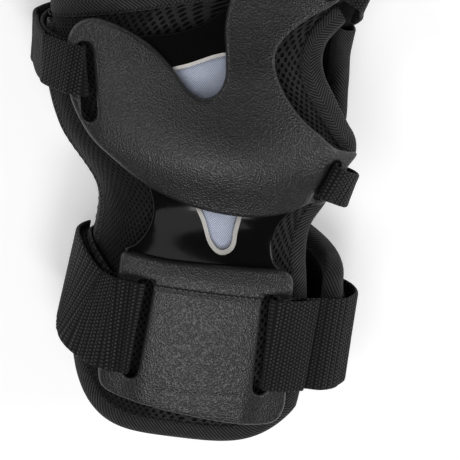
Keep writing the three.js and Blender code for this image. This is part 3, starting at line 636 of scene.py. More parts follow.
def knit(name, pitch, depth, dark, light):
    """Spacer mesh: crossing strands round small open cells."""
    m = Material(name, Specular_IOR_Level=0.18, Sheen_Weight=0.02, Sheen_Roughness=0.45)
    u, v = m.uv()
    wobble = m.math("MULTIPLY", m.noise(150, 2), pitch * 0.35)
    u = m.math("ADD", u, wobble)
    rising = m.wave(m.math("ADD", u, m.math("MULTIPLY", v, 0.8)), pitch)
    falling = m.wave(m.math("SUBTRACT", u, m.math("MULTIPLY", v, 0.8)), pitch)
    cell = m.fit(m.math("MULTIPLY", rising, falling), 0.12, 0.62)
    strand = m.math("SUBTRACT", 1.0, cell)
    yarn = m.wave(m.math("ADD", v, m.math("MULTIPLY", u, 0.4)), pitch * 0.3)
    height = m.math("ADD", strand, m.math("MULTIPLY", yarn, 0.12))
    # Painted light and shade: the strands are painted lighter than the open cells, which are painted dark as
    # shade, and lighter again on each yarn's crest.
    lit = m.math("MULTIPLY", strand, m.fit(yarn, 0.0, 1.0, 0.45, 1.0))
    m.colour(m.mottled(lit, 240), dark, light)
    m.roughness(strand, 0.95, 0.6)
    m.bump((height, depth))
    return m.data


def tape(name, width, herringbone):
    """Twill tape: diagonal ribs, which turn back at each width of a herringbone tape."""
    m = Material(name, Sheen_Roughness=0.4, **WOVEN)
    u, v = m.uv()
    side = m.math("PINGPONG", v, width) if herringbone else v
    rib = m.wave(m.math("ADD", u, side), 1.25)
    thread = m.wave(v, 0.42)
    height = m.math("ADD", m.fit(rib, 0.1, 0.9), m.math("MULTIPLY", thread, 0.2))
    # Painted highlight and shade: the raised ribs and threads are painted lighter than the hollows between
    # them.
    m.colour(m.mottled(height, 320, high=0.95), (0.002, 0.002, 0.002), (0.044, 0.043, 0.044))
    m.roughness(rib, 0.9, 0.62)
    m.bump((height, 0.26))
    return m.data


def webbing(name, rib_pitch, dot_pitch, depth, light):
    """Woven straps: ribs across the strap, each with a row of yarn dots, set half a dot on from the last."""
    m = Material(name, Sheen_Roughness=0.4, **WOVEN)
    u, v = m.uv()
    row = m.math("FLOOR", m.math("DIVIDE", u, rib_pitch / 2))
    shift = m.math("MULTIPLY", m.math("MODULO", row, 2.0), dot_pitch / 2)
    dots = m.wave(m.math("ADD", v, shift), dot_pitch)
    between = m.wave(u, rib_pitch / 2, math.pi)
    groove = m.fit(m.wave(u, rib_pitch), 0.0, 0.55, 0.2, 1.0)
    yarn = m.math("MULTIPLY", m.fit(dots, 0.05, 0.7), m.fit(between, 0.02, 0.5))
    yarn = m.math("MULTIPLY", yarn, groove)
    fibre = m.noise(1500, 3, 0.7)
    height = m.math("ADD", yarn, m.math("MULTIPLY", fibre, 0.3))
    # Painted highlight and shade: the yarn dots are painted lighter, and the colour is darkened between the
    # rows of dots and in the grooves between ribs.
    m.colour(m.mottled(yarn, 260), (0.0015, 0.0015, 0.0016), light)
    m.roughness(yarn, 0.95, 0.55)
    m.bump((height, depth))
    return m.data


def napped(name, scale, dark, light, depth, sheen):
    """Brushed or looped fabric."""
    m = Material(name, Roughness=0.95, Specular_IOR_Level=0.15, Sheen_Weight=sheen, Sheen_Roughness=0.6)
    cells = m.node("TexVoronoi", {"Vector": m.place(), "Scale": scale}, feature="F1")
    fuzz = m.noise(scale * 1.7, 3, 0.7)
    m.colour(m.mottled(fuzz, 90, low=0.6, high=1.2), dark, light)
    m.bump((m.math("ADD", cells, fuzz), depth))
    return m.data


def thread():
    """Sewing thread: two twisted plies."""
    m = Material("thread", Roughness=0.6, Specular_IOR_Level=0.35)
    u, v = m.uv()
    twist = m.wave(m.math("ADD", u, v), 0.5)
    # Painted highlight and shade: each ply is painted lighter on its crest and darker where the plies meet.
    m.colour(m.mottled(twist, 500, 2), (0.006, 0.006, 0.007), (0.045, 0.045, 0.048))
    m.bump((twist, 0.06))
    return m.data


def rivet_metal():
    """Turned aluminium with fine rings and a few rubs."""
    m = Material("rivet_metal", Metallic=1.0)
    fine = m.noise(1800, 2)
    m.colour(m.noise(300, 3), (0.42, 0.42, 0.43), (0.62, 0.62, 0.63))
    m.roughness(fine, 0.25, 0.5)
    m.bump((fine, 0.02))
    return m.data


PLASTIC = grained_plastic()
GLOSS = gloss_plastic()
PAINTED_WINDOW_REFLECTION = painted_window_reflection()
TWILL = twill_insert()
FINE_KNIT = knit("fine_knit", 2.5, 0.8, (0.0005, 0.0005, 0.0005), (0.012, 0.012, 0.0125))
COARSE_KNIT = knit("coarse_knit", 2.5, 0.7, (0.0006, 0.0006, 0.0007), (0.036, 0.036, 0.037))
EDGE_TAPE = tape("edge_tape", 4.0, False)
WIDE_TAPE = tape("wide_tape", 3.6, True)
WEBBING_TAPE = webbing("webbing", 2.5, 1.3, 0.22, (0.026, 0.0255, 0.026))
ELASTIC = webbing("elastic", 2.5, 1.25, 0.24, (0.025, 0.025, 0.0255))
FINE_WEBBING = webbing("fine_webbing", 1.9, 1.2, 0.2, (0.026, 0.026, 0.0265))
LINING = napped("lining", 900, (0.002, 0.002, 0.0022), (0.014, 0.014, 0.015), 0.12, 0.04)
HOOKS = napped("hooks", 1300, (0.002, 0.002, 0.002), (0.02, 0.02, 0.021), 0.25, 0.03)
THREAD = thread()
RIVET = rivet_metal()

for name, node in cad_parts.items():
    if "rivet" in name:
        node.data.materials.clear()
        node.data.materials.append(RIVET)

# ---- Hard plates ----


def resampled(points, spacing):
    """A closed loop's points, evenly spaced."""
    loop = np.concatenate([points, points[:1]])
    lengths = lengths_along(loop)
    even = np.linspace(0, lengths[-1], max(int(round(lengths[-1] / spacing)), 8), endpoint=False)
    return np.stack([np.interp(even, lengths, loop[:, k]) for k in (0, 1)], -1)


def outline(points, spacing=0.9):
    """The smooth loop through the given points."""
    t = np.linspace(0, 1, 16 * len(points), endpoint=False)
    flat = np.array([[x, y, 0.0] for x, y in points])
    return resampled(catmull(flat, t, True)[:, :2], spacing)


def slot_outline(ends, width, spacing=0.7):
    """A slot with round ends, as a loop."""
    (x0, y0), (x1, y1) = ends
    along = math.atan2(y1 - y0, x1 - x0)
    half = along + np.linspace(-math.pi / 2, math.pi / 2, 24)
    round_end = width / 2 * np.stack([np.cos(half), np.sin(half)], -1)
    return resampled(np.concatenate([[x1, y1] + round_end, [x0, y0] - round_end]), spacing)


def inside(points, loop):
    x, y = points[:, 0][:, None], points[:, 1][:, None]
    x0, y0 = loop[:, 0], loop[:, 1]
    x1, y1 = np.roll(x0, -1), np.roll(y0, -1)
    crosses = ((y0 > y) != (y1 > y)) & (x < (x1 - x0) * (y - y0) / np.where(y1 == y0, 1e-9, y1 - y0) + x0)
    return crosses.sum(axis=1) % 2 == 1


def distance(points, loop):
    best = np.full(len(points), 1e9)
    ends = np.roll(loop, -1, axis=0)
    for start in range(0, len(points), 2000):
        block = points[start : start + 2000, None]
        step = ends - loop
        share = np.clip(np.sum((block - loop) * step, axis=2) / np.sum(step**2, axis=1), 0, 1)
        near = np.linalg.norm(block - (loop + step * share[..., None]), axis=2)
        best[start : start + 2000] = near.min(axis=1)
    return best


def rounded(depth, radius):
    """How far a rounded edge lies below the face, at a distance in from the edge."""
    t = np.clip(1 - depth / radius, 0, 1)
    return radius * (1 - np.sqrt(1 - t * t))


RING_SHARES = (0.1, 0.28, 0.52, 0.78, 1.0)  # where rings of points lie across a rounded or sloping edge
ON_LOOP = 1e-6


def plate_points(edge, openings, spacing, radius, flare):
    """Points for a plate's mesh: those of its loops first, then rings along them and a staggered field."""
    loops = [edge, *openings]
    samples = list(loops)
    for k, loop in enumerate(loops):
        ahead = unit(np.roll(loop, -1, axis=0) - np.roll(loop, 1, axis=0))
        inward = np.stack([-ahead[:, 1], ahead[:, 0]], -1)
        probe = inside(loop + inward * 0.05, loop)
        inward = np.where((probe == (k == 0))[:, None], inward, -inward)
        reach = radius if k == 0 or not flare else flare
        for share in RING_SHARES:
            ring = loop + inward * share * reach
            apart = np.min([distance(ring, other) for other in loops], axis=0)
            samples.append(ring[apart > share * reach * 0.97])
    low, high = edge.min(axis=0), edge.max(axis=0)
    xs, ys = (np.arange(low[k], high[k], spacing) for k in (0, 1))
    field = np.stack(np.meshgrid(xs, ys, indexing="ij"), -1)
    field[::2, :, 1] += spacing / 2
    field = field.reshape(-1, 2)
    apart = np.min([distance(field, loop) for loop in loops], axis=0)
    samples.append(field[apart > max(radius, flare) + spacing * 0.4])
    corners = np.concatenate(samples)
    keep = inside(corners, edge) | (distance(corners, edge) < ON_LOOP)
    for loop in openings:
        keep &= ~inside(corners, loop) | (distance(corners, loop) < ON_LOOP)
    keep[: sum(len(loop) for loop in loops)] = True
    return corners[keep]


def plate_triangles(corners, edge, openings):
    """Triangles over the corners, inside the edge and outside the openings, anticlockwise from above."""
    edges, start = [], 0
    for loop in (edge, *openings):
        size = len(loop)
        edges += [(start + i, start + (i + 1) % size) for i in range(size)]
        start += size
    found = delaunay_2d_cdt([Vector(c) for c in corners], edges, [], 0, 1e-5)
    flat = np.array([tuple(v) for v in found[0]])
    triangles = np.array([f for f in found[2] if len(f) == 3])
    middle = flat[triangles].mean(axis=1)
    kept = inside(middle, edge)
    for loop in openings:
        kept &= ~inside(middle, loop)
    triangles = triangles[kept]
    a, b, c = (flat[triangles[:, k]] for k in range(3))
    turned = np.cross(b - a, c - a) < 0
    triangles[turned] = triangles[turned][:, ::-1]
    return flat, triangles


def plate(name, node, edge, openings, lower, upper, materials, slot, spacing=1.5, radius=1.2, flare=0.0):
    """A moulded plate, with rounded edges, and sloping ones where its openings flare."""
    corners = plate_points(edge, openings, spacing, radius, flare)
    flat, triangles = plate_triangles(corners, edge, openings)
    x, y = flat[:, 0], flat[:, 1]
    middle = flat[triangles].mean(axis=1)
    rim = distance(flat, edge)
    drop = rounded(rim, radius)
    sloped = np.zeros(len(triangles), bool)
    for loop in openings:
        near = distance(flat, loop)
        rim = np.minimum(rim, near)
        drop = np.maximum(drop, np.maximum(flare - near, 0) * 0.95 if flare else rounded(near, radius * 0.7))
        # Faces on a flared opening's slope take the plate's second material; on the splint that material
        # paints a pale reflection there.
        sloped |= distance(middle, loop) < flare * 0.98
    high = palm_height(x, y, upper(x, y)) - drop
    low = np.minimum(palm_height(x, y, lower(x, y)) + rounded(rim, 0.45), high - 0.25)
    size = len(flat)
    points = np.concatenate([np.column_stack([x, y, high]), np.column_stack([x, y, low])])
    directed = [(p, q) for a, b, c in triangles.tolist() for p, q in ((a, b), (b, c), (c, a))]
    known = set(directed)
    faces = triangles.tolist() + (triangles[:, ::-1] + size).tolist()
    faces += [[q, p, p + size, q + size] for p, q in directed if (q, p) not in known]
    used = np.unique(np.concatenate(faces))
    mapping = np.full(2 * size, -1)
    mapping[used] = np.arange(len(used))
    build = Build()
    build.add(points[used], [mapping[f] for f in faces], None, [*sloped, *[0] * (len(faces) - len(sloped))])
    # rims: each point's distance in from the plate's edges, from which the grained plastic paints its paler
    # rim highlight.
    rims = np.concatenate([rim, rim])[used]
    finish_closed(build, name, materials, GUARD, slot, (node,), rim=rims, crease=35)


HAND_SLOT = [[-49.9, 88.6], [-45.6, 69]]
INDEX_SLOT = [[25.8, 117.3], [32.2, 130.7]]
WRIST_SLOT = [[31.8, 52], [35.6, 62.4]]
LEFT_FOREARM_SLOT = [[-19.9, 15], [-20.6, -15]]
RIGHT_FOREARM_SLOT = [[21, 15], [23, -15.5]]
SLOT_WIDTH, WRIST_SLOT_WIDTH = 5, 3.4
SKID_OUTLINE = [
    [-30, 93.8], [-37, 96.8], [-43, 98.4], [-48.5, 98.6], [-52.8, 96.4], [-55.2, 92], [-55.4, 86],
    [-52.8, 74], [-50, 68.5], [-44.6, 61.8], [-37, 56.2], [-27, 50], [-18, 46], [-8, 43.4], [2, 42.2],
    [13, 42.6], [23, 45.2], [29, 48.3], [32.5, 47.8], [35.4, 49.2], [37.4, 53], [40, 60.8], [42.9, 66.2],
    [39.5, 66.8], [35, 68], [29, 72], [21.4, 77.4], [14.6, 84.8], [11, 92], [10.8, 97.6], [14.4, 103],
    [20.4, 108.4], [27, 112.8], [33, 118], [38, 125], [39, 131], [35.5, 135.6], [28, 136.4], [17, 132.6],
    [5, 126], [-3.6, 118.6], [-6.2, 111], [-6.8, 102], [-5.3, 93], [-4.8, 85.6], [-7.2, 81],
    [-11.6, 79.7], [-16, 81.8], [-22.6, 88.4],
]
SPLINT_OUTLINE = [
    [-13, -21], [0, -22.5], [14, -22], [16.5, -18], [17, 0], [17, 17], [19, 21.4], [24.3, 22.6], [24, 25],
    [20.8, 28.5], [19.5, 34], [20.8, 39.8], [25, 46], [29.5, 54], [31, 61], [27.5, 66.5], [19.5, 73],
    [12.6, 80.5], [8.6, 89], [8.2, 98], [9, 108], [6, 115.5], [-1, 115.5], [-4.2, 110.4], [-9, 105.9],
    [-13.4, 102.2], [-18, 99.7], [-24, 97.6], [-30.4, 96.2], [-37, 94.2], [-40.4, 88], [-40, 78], [-37, 66],
    [-31.5, 56.5], [-25.3, 50.4], [-22, 44], [-20.6, 39], [-21.2, 33.8], [-24.2, 28], [-27.8, 24.6],
    [-26, 22.4], [-18, 21.2], [-14.5, 17], [-14.8, -15],
]
FOREARM_OUTLINE = [
    [-27.6, 24.6], [-14, 24.8], [0, 25.3], [13, 25.8], [24, 25.6], [27.4, 23.6], [28.4, 18], [30, 6],
    [32, -14], [32.6, -23], [30.6, -27.6], [26, -29.2], [13, -29], [-1, -27.8], [-14, -26.2], [-25, -24.4],
    [-29, -22.4], [-30.6, -18], [-30.4, -8], [-29.2, 8], [-29, 20], [-28.8, 23.4],
]
HEEL_WINDOW = [[-27, 82.6], [-16, 88.4], [-3, 93], [0.4, 87.5], [-2, 78], [-12, 73.6], [-22, 77]]
NECK_WINDOW = [[-7.3, 47], [-3.4, 38.5], [0, 31.6], [3, 29.7], [5.6, 31.2], [6.1, 36], [5.7, 47]]
INSERT_OUTLINE = [
    [-11, 24.5], [5, 23], [13, 25.5], [14, 40], [13, 56], [9, 75], [5.5, 96.5], [-7, 100.6], [-17, 96.6],
    [-28, 91.6], [-29, 80], [-24, 64], [-15, 46],
]


def skid_offset(x, y):
    dome = 3 * np.exp(-((x / 27) ** 2) - ((y - 60) / 15) ** 2)
    return mix(PLATE_OFFSET, PLATE_EDGE_OFFSET, smooth(np.abs(x + 4), 37, 46)) + dome


def skid_top(x, y):
    """The thumb-side ear is stepped down behind a sloping lip, beside its slot."""
    start, end = np.array([27.2, 47.6]), np.array([33.5, 66.8])
    ahead = unit(end - start)
    right = (x - start[0]) * ahead[1] - (y - start[1]) * ahead[0]
    step = 1.15 * smooth(right, 0.0, 1.5) * smooth(x, 24, 29) * (1 - smooth(y, 75, 80))
    return skid_offset(x, y) + PLATE - step


def forearm_offset(x, y):
    near_slot = smooth(np.abs(x - 1), 16, 24) * smooth(-y, -20, -16)
    return mix(PLATE_OFFSET, PLATE_EDGE_OFFSET, near_slot)


def forearm_top(x, y):
    """A raised band at the wrist end, a groove below it, and a faint crease near the forearm end."""
    start = np.where(np.abs(x - 0.5) < 17.5, 15.9, 17.2)
    slope = np.where(y < 19, 0, smooth(y, 19, 27))
    band = 1.3 * smooth(y, start, start + 1.1) * (1 - slope)
    groove = 0.55 * np.exp(-(((y - start + 0.3) / 0.55) ** 2)) * (1 - smooth(np.abs(x - 0.5), 17, 19))
    crease = 0.22 * np.exp(-(((y + 19.6 - 0.03 * x) / 0.7) ** 2)) * (1 - smooth(np.abs(x - 1), 13, 17))
    return forearm_offset(x, y) + PLATE + band - groove - crease


def level(offset):
    """The same offset all over a plate."""
    return lambda x, y: np.full_like(x, offset)


plate(
    "skid_plate_shell", "skid_plate", outline(SKID_OUTLINE),
    [
        slot_outline(HAND_SLOT, SLOT_WIDTH), slot_outline(INDEX_SLOT, SLOT_WIDTH),
        slot_outline(WRIST_SLOT, WRIST_SLOT_WIDTH),
    ],
    skid_offset, skid_top, [PLASTIC], "matte_plate", radius=1.3,
)
plate(
    "palm_splint_shell", "palm_splint", outline(SPLINT_OUTLINE),
    [outline(HEEL_WINDOW, 0.7), outline(NECK_WINDOW, 0.7)],
    level(SPLINT_OFFSET), level(SPLINT_OFFSET + SPLINT), [GLOSS, PAINTED_WINDOW_REFLECTION], "gloss_splint",
    radius=0.8, flare=1.3,
)
plate(
    "forearm_plate_shell", "forearm_plate", outline(FOREARM_OUTLINE),
    [slot_outline(LEFT_FOREARM_SLOT, SLOT_WIDTH), slot_outline(RIGHT_FOREARM_SLOT, SLOT_WIDTH)],
    forearm_offset, forearm_top, [PLASTIC], "matte_plate", spacing=1.0,
)
plate(
    "window_insert_sheet", "window_insert_panel", outline(INSERT_OUTLINE, 1.2), [],
    level(INSERT_OFFSET), level(INSERT_OFFSET + INSERT), [TWILL], "twill_insert", spacing=2.0, radius=0.25,
)

# ---- Padded panels ----

PANEL_LENGTH = 148
SEWN_IN = 6  # how far in from its edges the padding swells to its full thickness
SEWN_FLAT = 3  # how far in from its edges the solver holds it
CLOTH = {
    "quality": 8, "mass": 0.003, "tension_stiffness": 0.5, "compression_stiffness": 0.5,
    "shear_stiffness": 0.2, "bending_stiffness": 0.002,
    "tension_damping": 0, "compression_damping": 0, "shear_damping": 0,
    "bending_damping": 0, "air_damping": 0.1, "use_pressure": True, "vertex_group_mass": "held",
}
CLOTH_FRAMES = 20


def panel_grid(rows, columns):
    us, vs = np.linspace(0, 1, rows), np.linspace(0, 1, columns)
    return us, vs, *np.meshgrid(us, vs, indexing="ij")


def from_edge(u, v, girth):
    """How far a place on a panel is from the nearest edge, in millimetres."""
    return np.minimum(np.minimum(u, 1 - u) * girth, np.minimum(v, 1 - v) * PANEL_LENGTH)


def under_plates(points):
    """1 where a plate or the splint holds the padding down, 0 well away from them."""
    held = np.zeros(len(points))
    for shape in (SKID_OUTLINE, SPLINT_OUTLINE, FOREARM_OUTLINE):
        loop = outline(shape, 2.0)
        near = distance(points[:, :2], loop)
        held = np.maximum(held, np.where(inside(points[:, :2], loop), 1.0, 1 - smooth(near, 0, 3)))
    return held * (points[:, 2] > 30)


PUFF = 1.0  # the most that a face may rise


def simulated_puff(name, surface, girth, pressure, rows=24, columns=38):
    """Blows the padding up with the cloth solver, held at its seams and under the plates.
    Returns how far the outer and inner faces swell at each grid point: never inwards, and PUFF at most."""
    us, vs, u, v = panel_grid(rows, columns)
    outer, inner = surface(u, v, -0.8), surface(u, v, 0.8 - PANEL)
    build = shell(outer, inner, us * girth, vs * PANEL_LENGTH)
    obj = finish_closed(build, name, [LINING], GUARD, "air_mesh")
    held = obj.vertex_groups.new(name="held")
    sewn = from_edge(u, v, girth).ravel() < SEWN_FLAT
    size = rows * columns
    for i, weight in enumerate(np.where(sewn, 1.0, under_plates(outer.reshape(-1, 3)))):
        held.add([i, i + size], float(weight), "REPLACE")
    settings = obj.modifiers.new("cloth", "CLOTH").settings
    for key, value in CLOTH.items():
        setattr(settings, key, value)
    settings.uniform_pressure_force = pressure
    settings.effector_weights.gravity = 0
    scene = bpy.context.scene
    for number in range(1, CLOTH_FRAMES + 1):
        scene.frame_set(number)
    evaluated = obj.evaluated_get(bpy.context.evaluated_depsgraph_get())
    moved, start = (np.array([v.co for v in o.data.vertices]) / MM for o in (evaluated, obj))
    scene.frame_set(1)
    bpy.data.objects.remove(obj)
    normal = unit(surface(u, v, 1.0) - surface(u, v, 0.0)).reshape(-1, 3)
    shift = moved - start
    shift = np.nan_to_num(shift)
    out = np.sum(shift[:size] * normal, axis=1)
    back = -np.sum(shift[size:] * normal, axis=1)
    return [(PUFF * np.tanh(np.maximum(d, 0) / PUFF)).reshape(rows, columns) for d in (out, back)]


def refined(field, rows, columns):
    """A coarse grid of values at a finer grid's points, smoothed."""
    coarse_rows, coarse_columns = field.shape
    x = np.linspace(0, coarse_columns - 1, columns)
    wide = np.array([np.interp(x, np.arange(coarse_columns), row) for row in field])
    y = np.linspace(0, coarse_rows - 1, rows)
    fine = np.array([np.interp(y, np.arange(coarse_rows), wide[:, k]) for k in range(columns)]).T
    for _ in range(6):
        padded = np.pad(fine, 1, mode="edge")
        fine = (padded[:-2, 1:-1] + padded[2:, 1:-1] + padded[1:-1, :-2] + padded[1:-1, 2:] + 2 * fine) / 6
    return fine


def padded_panel(name, surface, girth, pressure, nodes, kind_of, materials, rows=90, columns=140):
    """A panel's padding, drawn in at its sewn edges."""
    us, vs, u, v = panel_grid(rows, columns)
    drawn = 1 - smooth(from_edge(u, v, girth), 0, SEWN_IN)
    puffs = simulated_puff(name + "_cloth", surface, girth, pressure)
    out, back = (refined(field, rows, columns) for field in puffs)
    outer = surface(u, v, mix(out - 0.6, -1.15, drawn))
    inner = surface(u, v, mix(0.6 - back, 0.7, drawn) - PANEL)
    kinds = kind_of(grid_uvs(us, vs).mean(axis=1))
    build = shell(outer, inner, us * girth, vs * PANEL_LENGTH, kinds)
    obj = finish_closed(build, name, materials, GUARD, "air_mesh", nodes)
    return obj


padded_panel(
    "palm_padding", palm_panel, 100, 40, ("palm_panel", "palm_foam", "palm_lining", "heel_pad"),
    lambda at: np.where(at[:, 0] < 0.45, 2, 0), [FINE_KNIT, LINING, COARSE_KNIT],
)
padded_panel(
    "back_padding", back_panel, 120, 3, ("back_panel", "back_foam", "back_lining", "back_splint"),
    lambda at: np.zeros(len(at), int), [FINE_KNIT, LINING],
)

# ---- Bindings ----

STITCH = {"length": 2.0, "pitch": 3.1, "radius": 0.2}


def binding(name, surface, edge, first, last, width, overlap, material, stations):
    path = edge_stations(surface, edge, np.linspace(first, last, stations))
    build = sweep(path, binding_profile(width, overlap))
    finish_closed(build, name + "_tape", [material], GUARD, "binding_tape", (name + "_binding",))
    return path


palm_edge_path = binding(
    "palm_edge", palm_panel, palm_free_edge, -0.97, 0.565, EDGE_BINDING_WIDTH, 2.6, EDGE_TAPE, 300
)
back_edge_path = binding(
    "back_edge", back_panel, back_free_edge, 0.05, 1.87, EDGE_BINDING_WIDTH, 2.2, EDGE_TAPE, 340
)
thumb_path = binding(
    "thumb_hole", palm_panel, palm_free_edge, 0.57, 0.925, THUMB_BINDING_WIDTH, 1.6, WIDE_TAPE, 160
)


def finger_ring(stations):
    """Round the finger opening: along the palm panel's edge, then the back panel's."""
    share = np.linspace(0, 1, stations // 2)

    def ring(along, offset=0.0):
        along = np.full_like(share, along)
        return np.concatenate([panel(share, along, offset) for panel in (palm_panel, back_panel)])

    p, below, above = ring(1.0), ring(1 - EDGE_STEP), ring(1 - EDGE_STEP, 1.0)
    outward = unit(above - below)
    tangent = unit(np.roll(p, -1, axis=0) - np.roll(p, 1, axis=0))
    across = unit(np.cross(outward, tangent))
    across *= np.sign(np.sum(across * (p - below), axis=1, keepdims=True))
    return p, across, outward


finger_path = finger_ring(300)
finish_closed(
    sweep(finger_path, binding_profile(FINGER_BINDING_WIDTH, 1.8), closed=True), "finger_edge_roll",
    [WIDE_TAPE], GUARD, "binding_tape", ("finger_edge_binding",),
)


def seam_tape():
    """Twill tape over the side seam, and the seam's core inside it."""
    ys = np.linspace(*SEAM_ENDS, 150)
    turns = np.linspace(180 - 12, 180 + 7, 15)
    y, degrees = np.meshgrid(ys, turns, indexing="ij")
    edge = np.minimum(degrees - turns[0], turns[-1] - degrees)
    lift = 0.42 - 0.75 * (1 - smooth(edge, 0, 3))
    outer = skin(y, degrees, lift, False)
    inner = skin(y, degrees, lift - TAPE, False)
    build = shell(outer, inner, ys, lengths_along(outer[len(ys) // 2]))
    tapes = [EDGE_TAPE, EDGE_TAPE]
    finish_closed(build, "side_seam_tape", tapes, GUARD, "binding_tape", ("side_seam_binding",))
    turns = np.linspace(180 - 2.6, 180 + 2.6, 7)
    y, degrees = np.meshgrid(ys, turns, indexing="ij")
    core = shell(skin(y, degrees, -0.7, False), skin(y, degrees, -7.0, False), ys, turns - turns[0])
    finish_closed(core, "side_seam_core", [LINING, LINING], GUARD, "binding_tape")


seam_tape()

# ---- Straps ----


STATIONS_PER_RIB = 6


def strap(name, node, route, width, material, slot, body=GUARD, pitch=2.5, ribs=0.16):
    """A woven strap, with its ribs as real relief across it."""
    path = even_stations(route, pitch / STATIONS_PER_RIB)
    phase = np.arange(len(path[0])) * (2 * math.pi / STATIONS_PER_RIB)

    def bulge(flat):
        shape = np.repeat(flat[None], len(phase), axis=0)
        relief = ribs * (0.5 + 0.5 * np.cos(phase))[:, None] - ribs
        shape[..., 1] += relief * np.sign(flat[:, 1]) * (np.abs(flat[:, 1]) > WEBBING * 0.3)
        return shape

    build = sweep(path, strap_profile(width, WEBBING, 9), bulge=bulge)
    return finish_closed(build, name, [material], body, slot, (node,)), path


def lean_of(slot):
    (x0, y0), (x1, y1) = slot
    return (x1 - x0) / (y1 - y0)


right_lean, left_lean = lean_of(RIGHT_FOREARM_SLOT), lean_of(LEFT_FOREARM_SLOT)
index_lean, hand_lean, wrist_lean = lean_of(INDEX_SLOT), lean_of(HAND_SLOT), lean_of(WRIST_SLOT)
UNDER, END = 1.3, 3.15  # offsets of the loop under its slot, and of the elastic's sewn end


def forearm_y(degrees):
    return 8 * smooth(degrees, 136, 176) * (1 - smooth(degrees, 215, 262))


def hand_y(degrees):
    return 82 + 34.6 * np.clip((degrees - 150) / 220, 0, 1) ** 1.3


loop_route = [
    palm_station(x, 0, offset, right_lean)
    for x, offset in [
        (31.6, UNDER), (29, UNDER), (26, UNDER), (23.3, 2.1), (22.9, 4), (23.3, 6), (25.6, 6.6), (29.5, 6.6),
        (33.5, 5.9), (38, 4.95),
    ]
]
forearm_route = (
    [
        palm_station(33.5, 0, END),
        palm_station(38.5, 0, END),
        free_station([44, 0, 42.4]),
        free_station([48.9, 0, 38.6]),
    ]
    + [around_station(forearm_y(d), d, STRAP_OFFSET) for d in np.linspace(380, 136, 19)]
    + [
        palm_station(x, 0, offset, left_lean)
        for x, offset in [(-25.5, 1.1), (-21.6, 2), (-21.2, 4), (-21.6, 6), (-23.4, 6.55), (-24.8, 6.6)]
    ]
)
forearm_tab_route = [
    palm_station(x, 0, offset, left_lean) for x, offset in [(-24.8, 6.6), (-27.5, 6.6), (-30.5, 6.3)]
] + [around_station(forearm_y(d), d, TAB_OFFSET) for d in np.linspace(148, 208, 9)]
hand_tab_offset = curve_through([158, 166, 183, 193], [4.9, 3.4, 3.4, TAB_OFFSET])


def index_y(x):
    return 124 - index_lean * (x - 30.3)


hand_route = (
    [
        palm_station(x, index_y(x), offset, index_lean)
        for x, offset in [
            (36, 1.5), (33.4, 2.2), (30.8, 3.2), (30.2, 5.4), (30.5, 7.5), (32.8, 8.1), (35.8, 8.1),
            (39.4, 7.4),
        ]
    ]
    + [around_station(hand_y(d), d, STRAP_OFFSET) for d in np.linspace(372, 156, 17)]
    + [
        palm_station(x, 82, offset, hand_lean)
        for x, offset in [(-52.6, 1.3), (-49.9, 1.8), (-48.9, 4), (-49.5, 6.5), (-51, 7), (-52.4, 7)]
    ]
)
hand_tab_route = [palm_station(x, 82, offset, hand_lean) for x, offset in [(-52.4, 7), (-54.6, 6.7)]] + [
    around_station(hand_y(d), d, hand_tab_offset(d)) for d in np.linspace(158, 222, 13)
]
wrist_route = (
    [
        palm_station(x, 57 - wrist_lean * (x - 34.4), offset, wrist_lean)
        for x, offset in [
            (36.8, 1.25), (35.7, 1.3), (34.3, 2), (33.7, 4.4), (34, 7), (35.7, 8.2), (38.5, 7.6),
        ]
    ]
    + [
        free_station([42.6, 53.9, 45], 0.25),
        free_station([43.6, 53, 37], 0.1),
        free_station([42.6, 52.2, 29]),
    ]
    + [around_station(51.6, d, 2.8) for d in np.linspace(350, 306, 5)]
)

_, loop_path = strap(
    "forearm_loop_web", "forearm_strap_loop", loop_route, FOREARM_STRAP_WIDTH, WEBBING_TAPE, "webbing",
    ribs=0.24,
)
strap(
    "forearm_strap_web", "forearm_strap", forearm_route, FOREARM_STRAP_WIDTH, ELASTIC, "elastic_webbing",
    ribs=0.4,
)
_, hand_path = strap(
    "hand_strap_web", "hand_strap", hand_route, HAND_STRAP_WIDTH, FINE_WEBBING, "elastic_webbing",
    pitch=1.9, ribs=0.12,
)
_, wrist_path = strap(
    "wrist_strap_web", "wrist_strap", wrist_route, WRIST_STRAP_WIDTH, ELASTIC, "elastic_webbing", pitch=1.9
)
forearm_tab, forearm_tab_path = strap(
    "forearm_tab_web", "forearm_strap_tab", forearm_tab_route, FOREARM_STRAP_WIDTH, WEBBING_TAPE, "webbing",
    body=None, ribs=0.36,
)
hand_tab, hand_tab_path = strap(
    "hand_tab_web", "hand_strap_tab", hand_tab_route, HAND_STRAP_WIDTH, FINE_WEBBING, "webbing",
    body=None, pitch=1.9, ribs=0.12,
)


def patch(name, y_at, hold, width, offset, body):
    route = [around_station(y_at(d), d, offset + PATCH / 2) for d in np.linspace(*hold, 7)]
    build = sweep(even_stations(route, 1.2), strap_profile(width, PATCH, 7))
    finish_closed(build, name + "_tape", [HOOKS], body, "hook_and_loop", (name + "_patch",))


PATCH_MARGIN = 4  # how much narrower a patch is than its strap
for name, y_at, hold, width, body in (
    ("forearm", forearm_y, FOREARM_HOLD, FOREARM_STRAP_WIDTH, FOREARM_TAB),
    ("hand", hand_y, HAND_HOLD, HAND_STRAP_WIDTH, HAND_TAB),
):
    patch(name + "_loop", y_at, hold, width - PATCH_MARGIN, LOOP_PATCH_OFFSET, GUARD)
    patch(name + "_hook", y_at, hold, width - PATCH_MARGIN, HOOK_PATCH_OFFSET, body)

# ---- Stitching ----


STITCH_SIDES = 6
STITCH_RINGS = [(-1.0, 0.35), (-0.72, 0.9), (0.0, 1.15), (0.72, 0.9), (1.0, 0.35)]  # place along, thickness


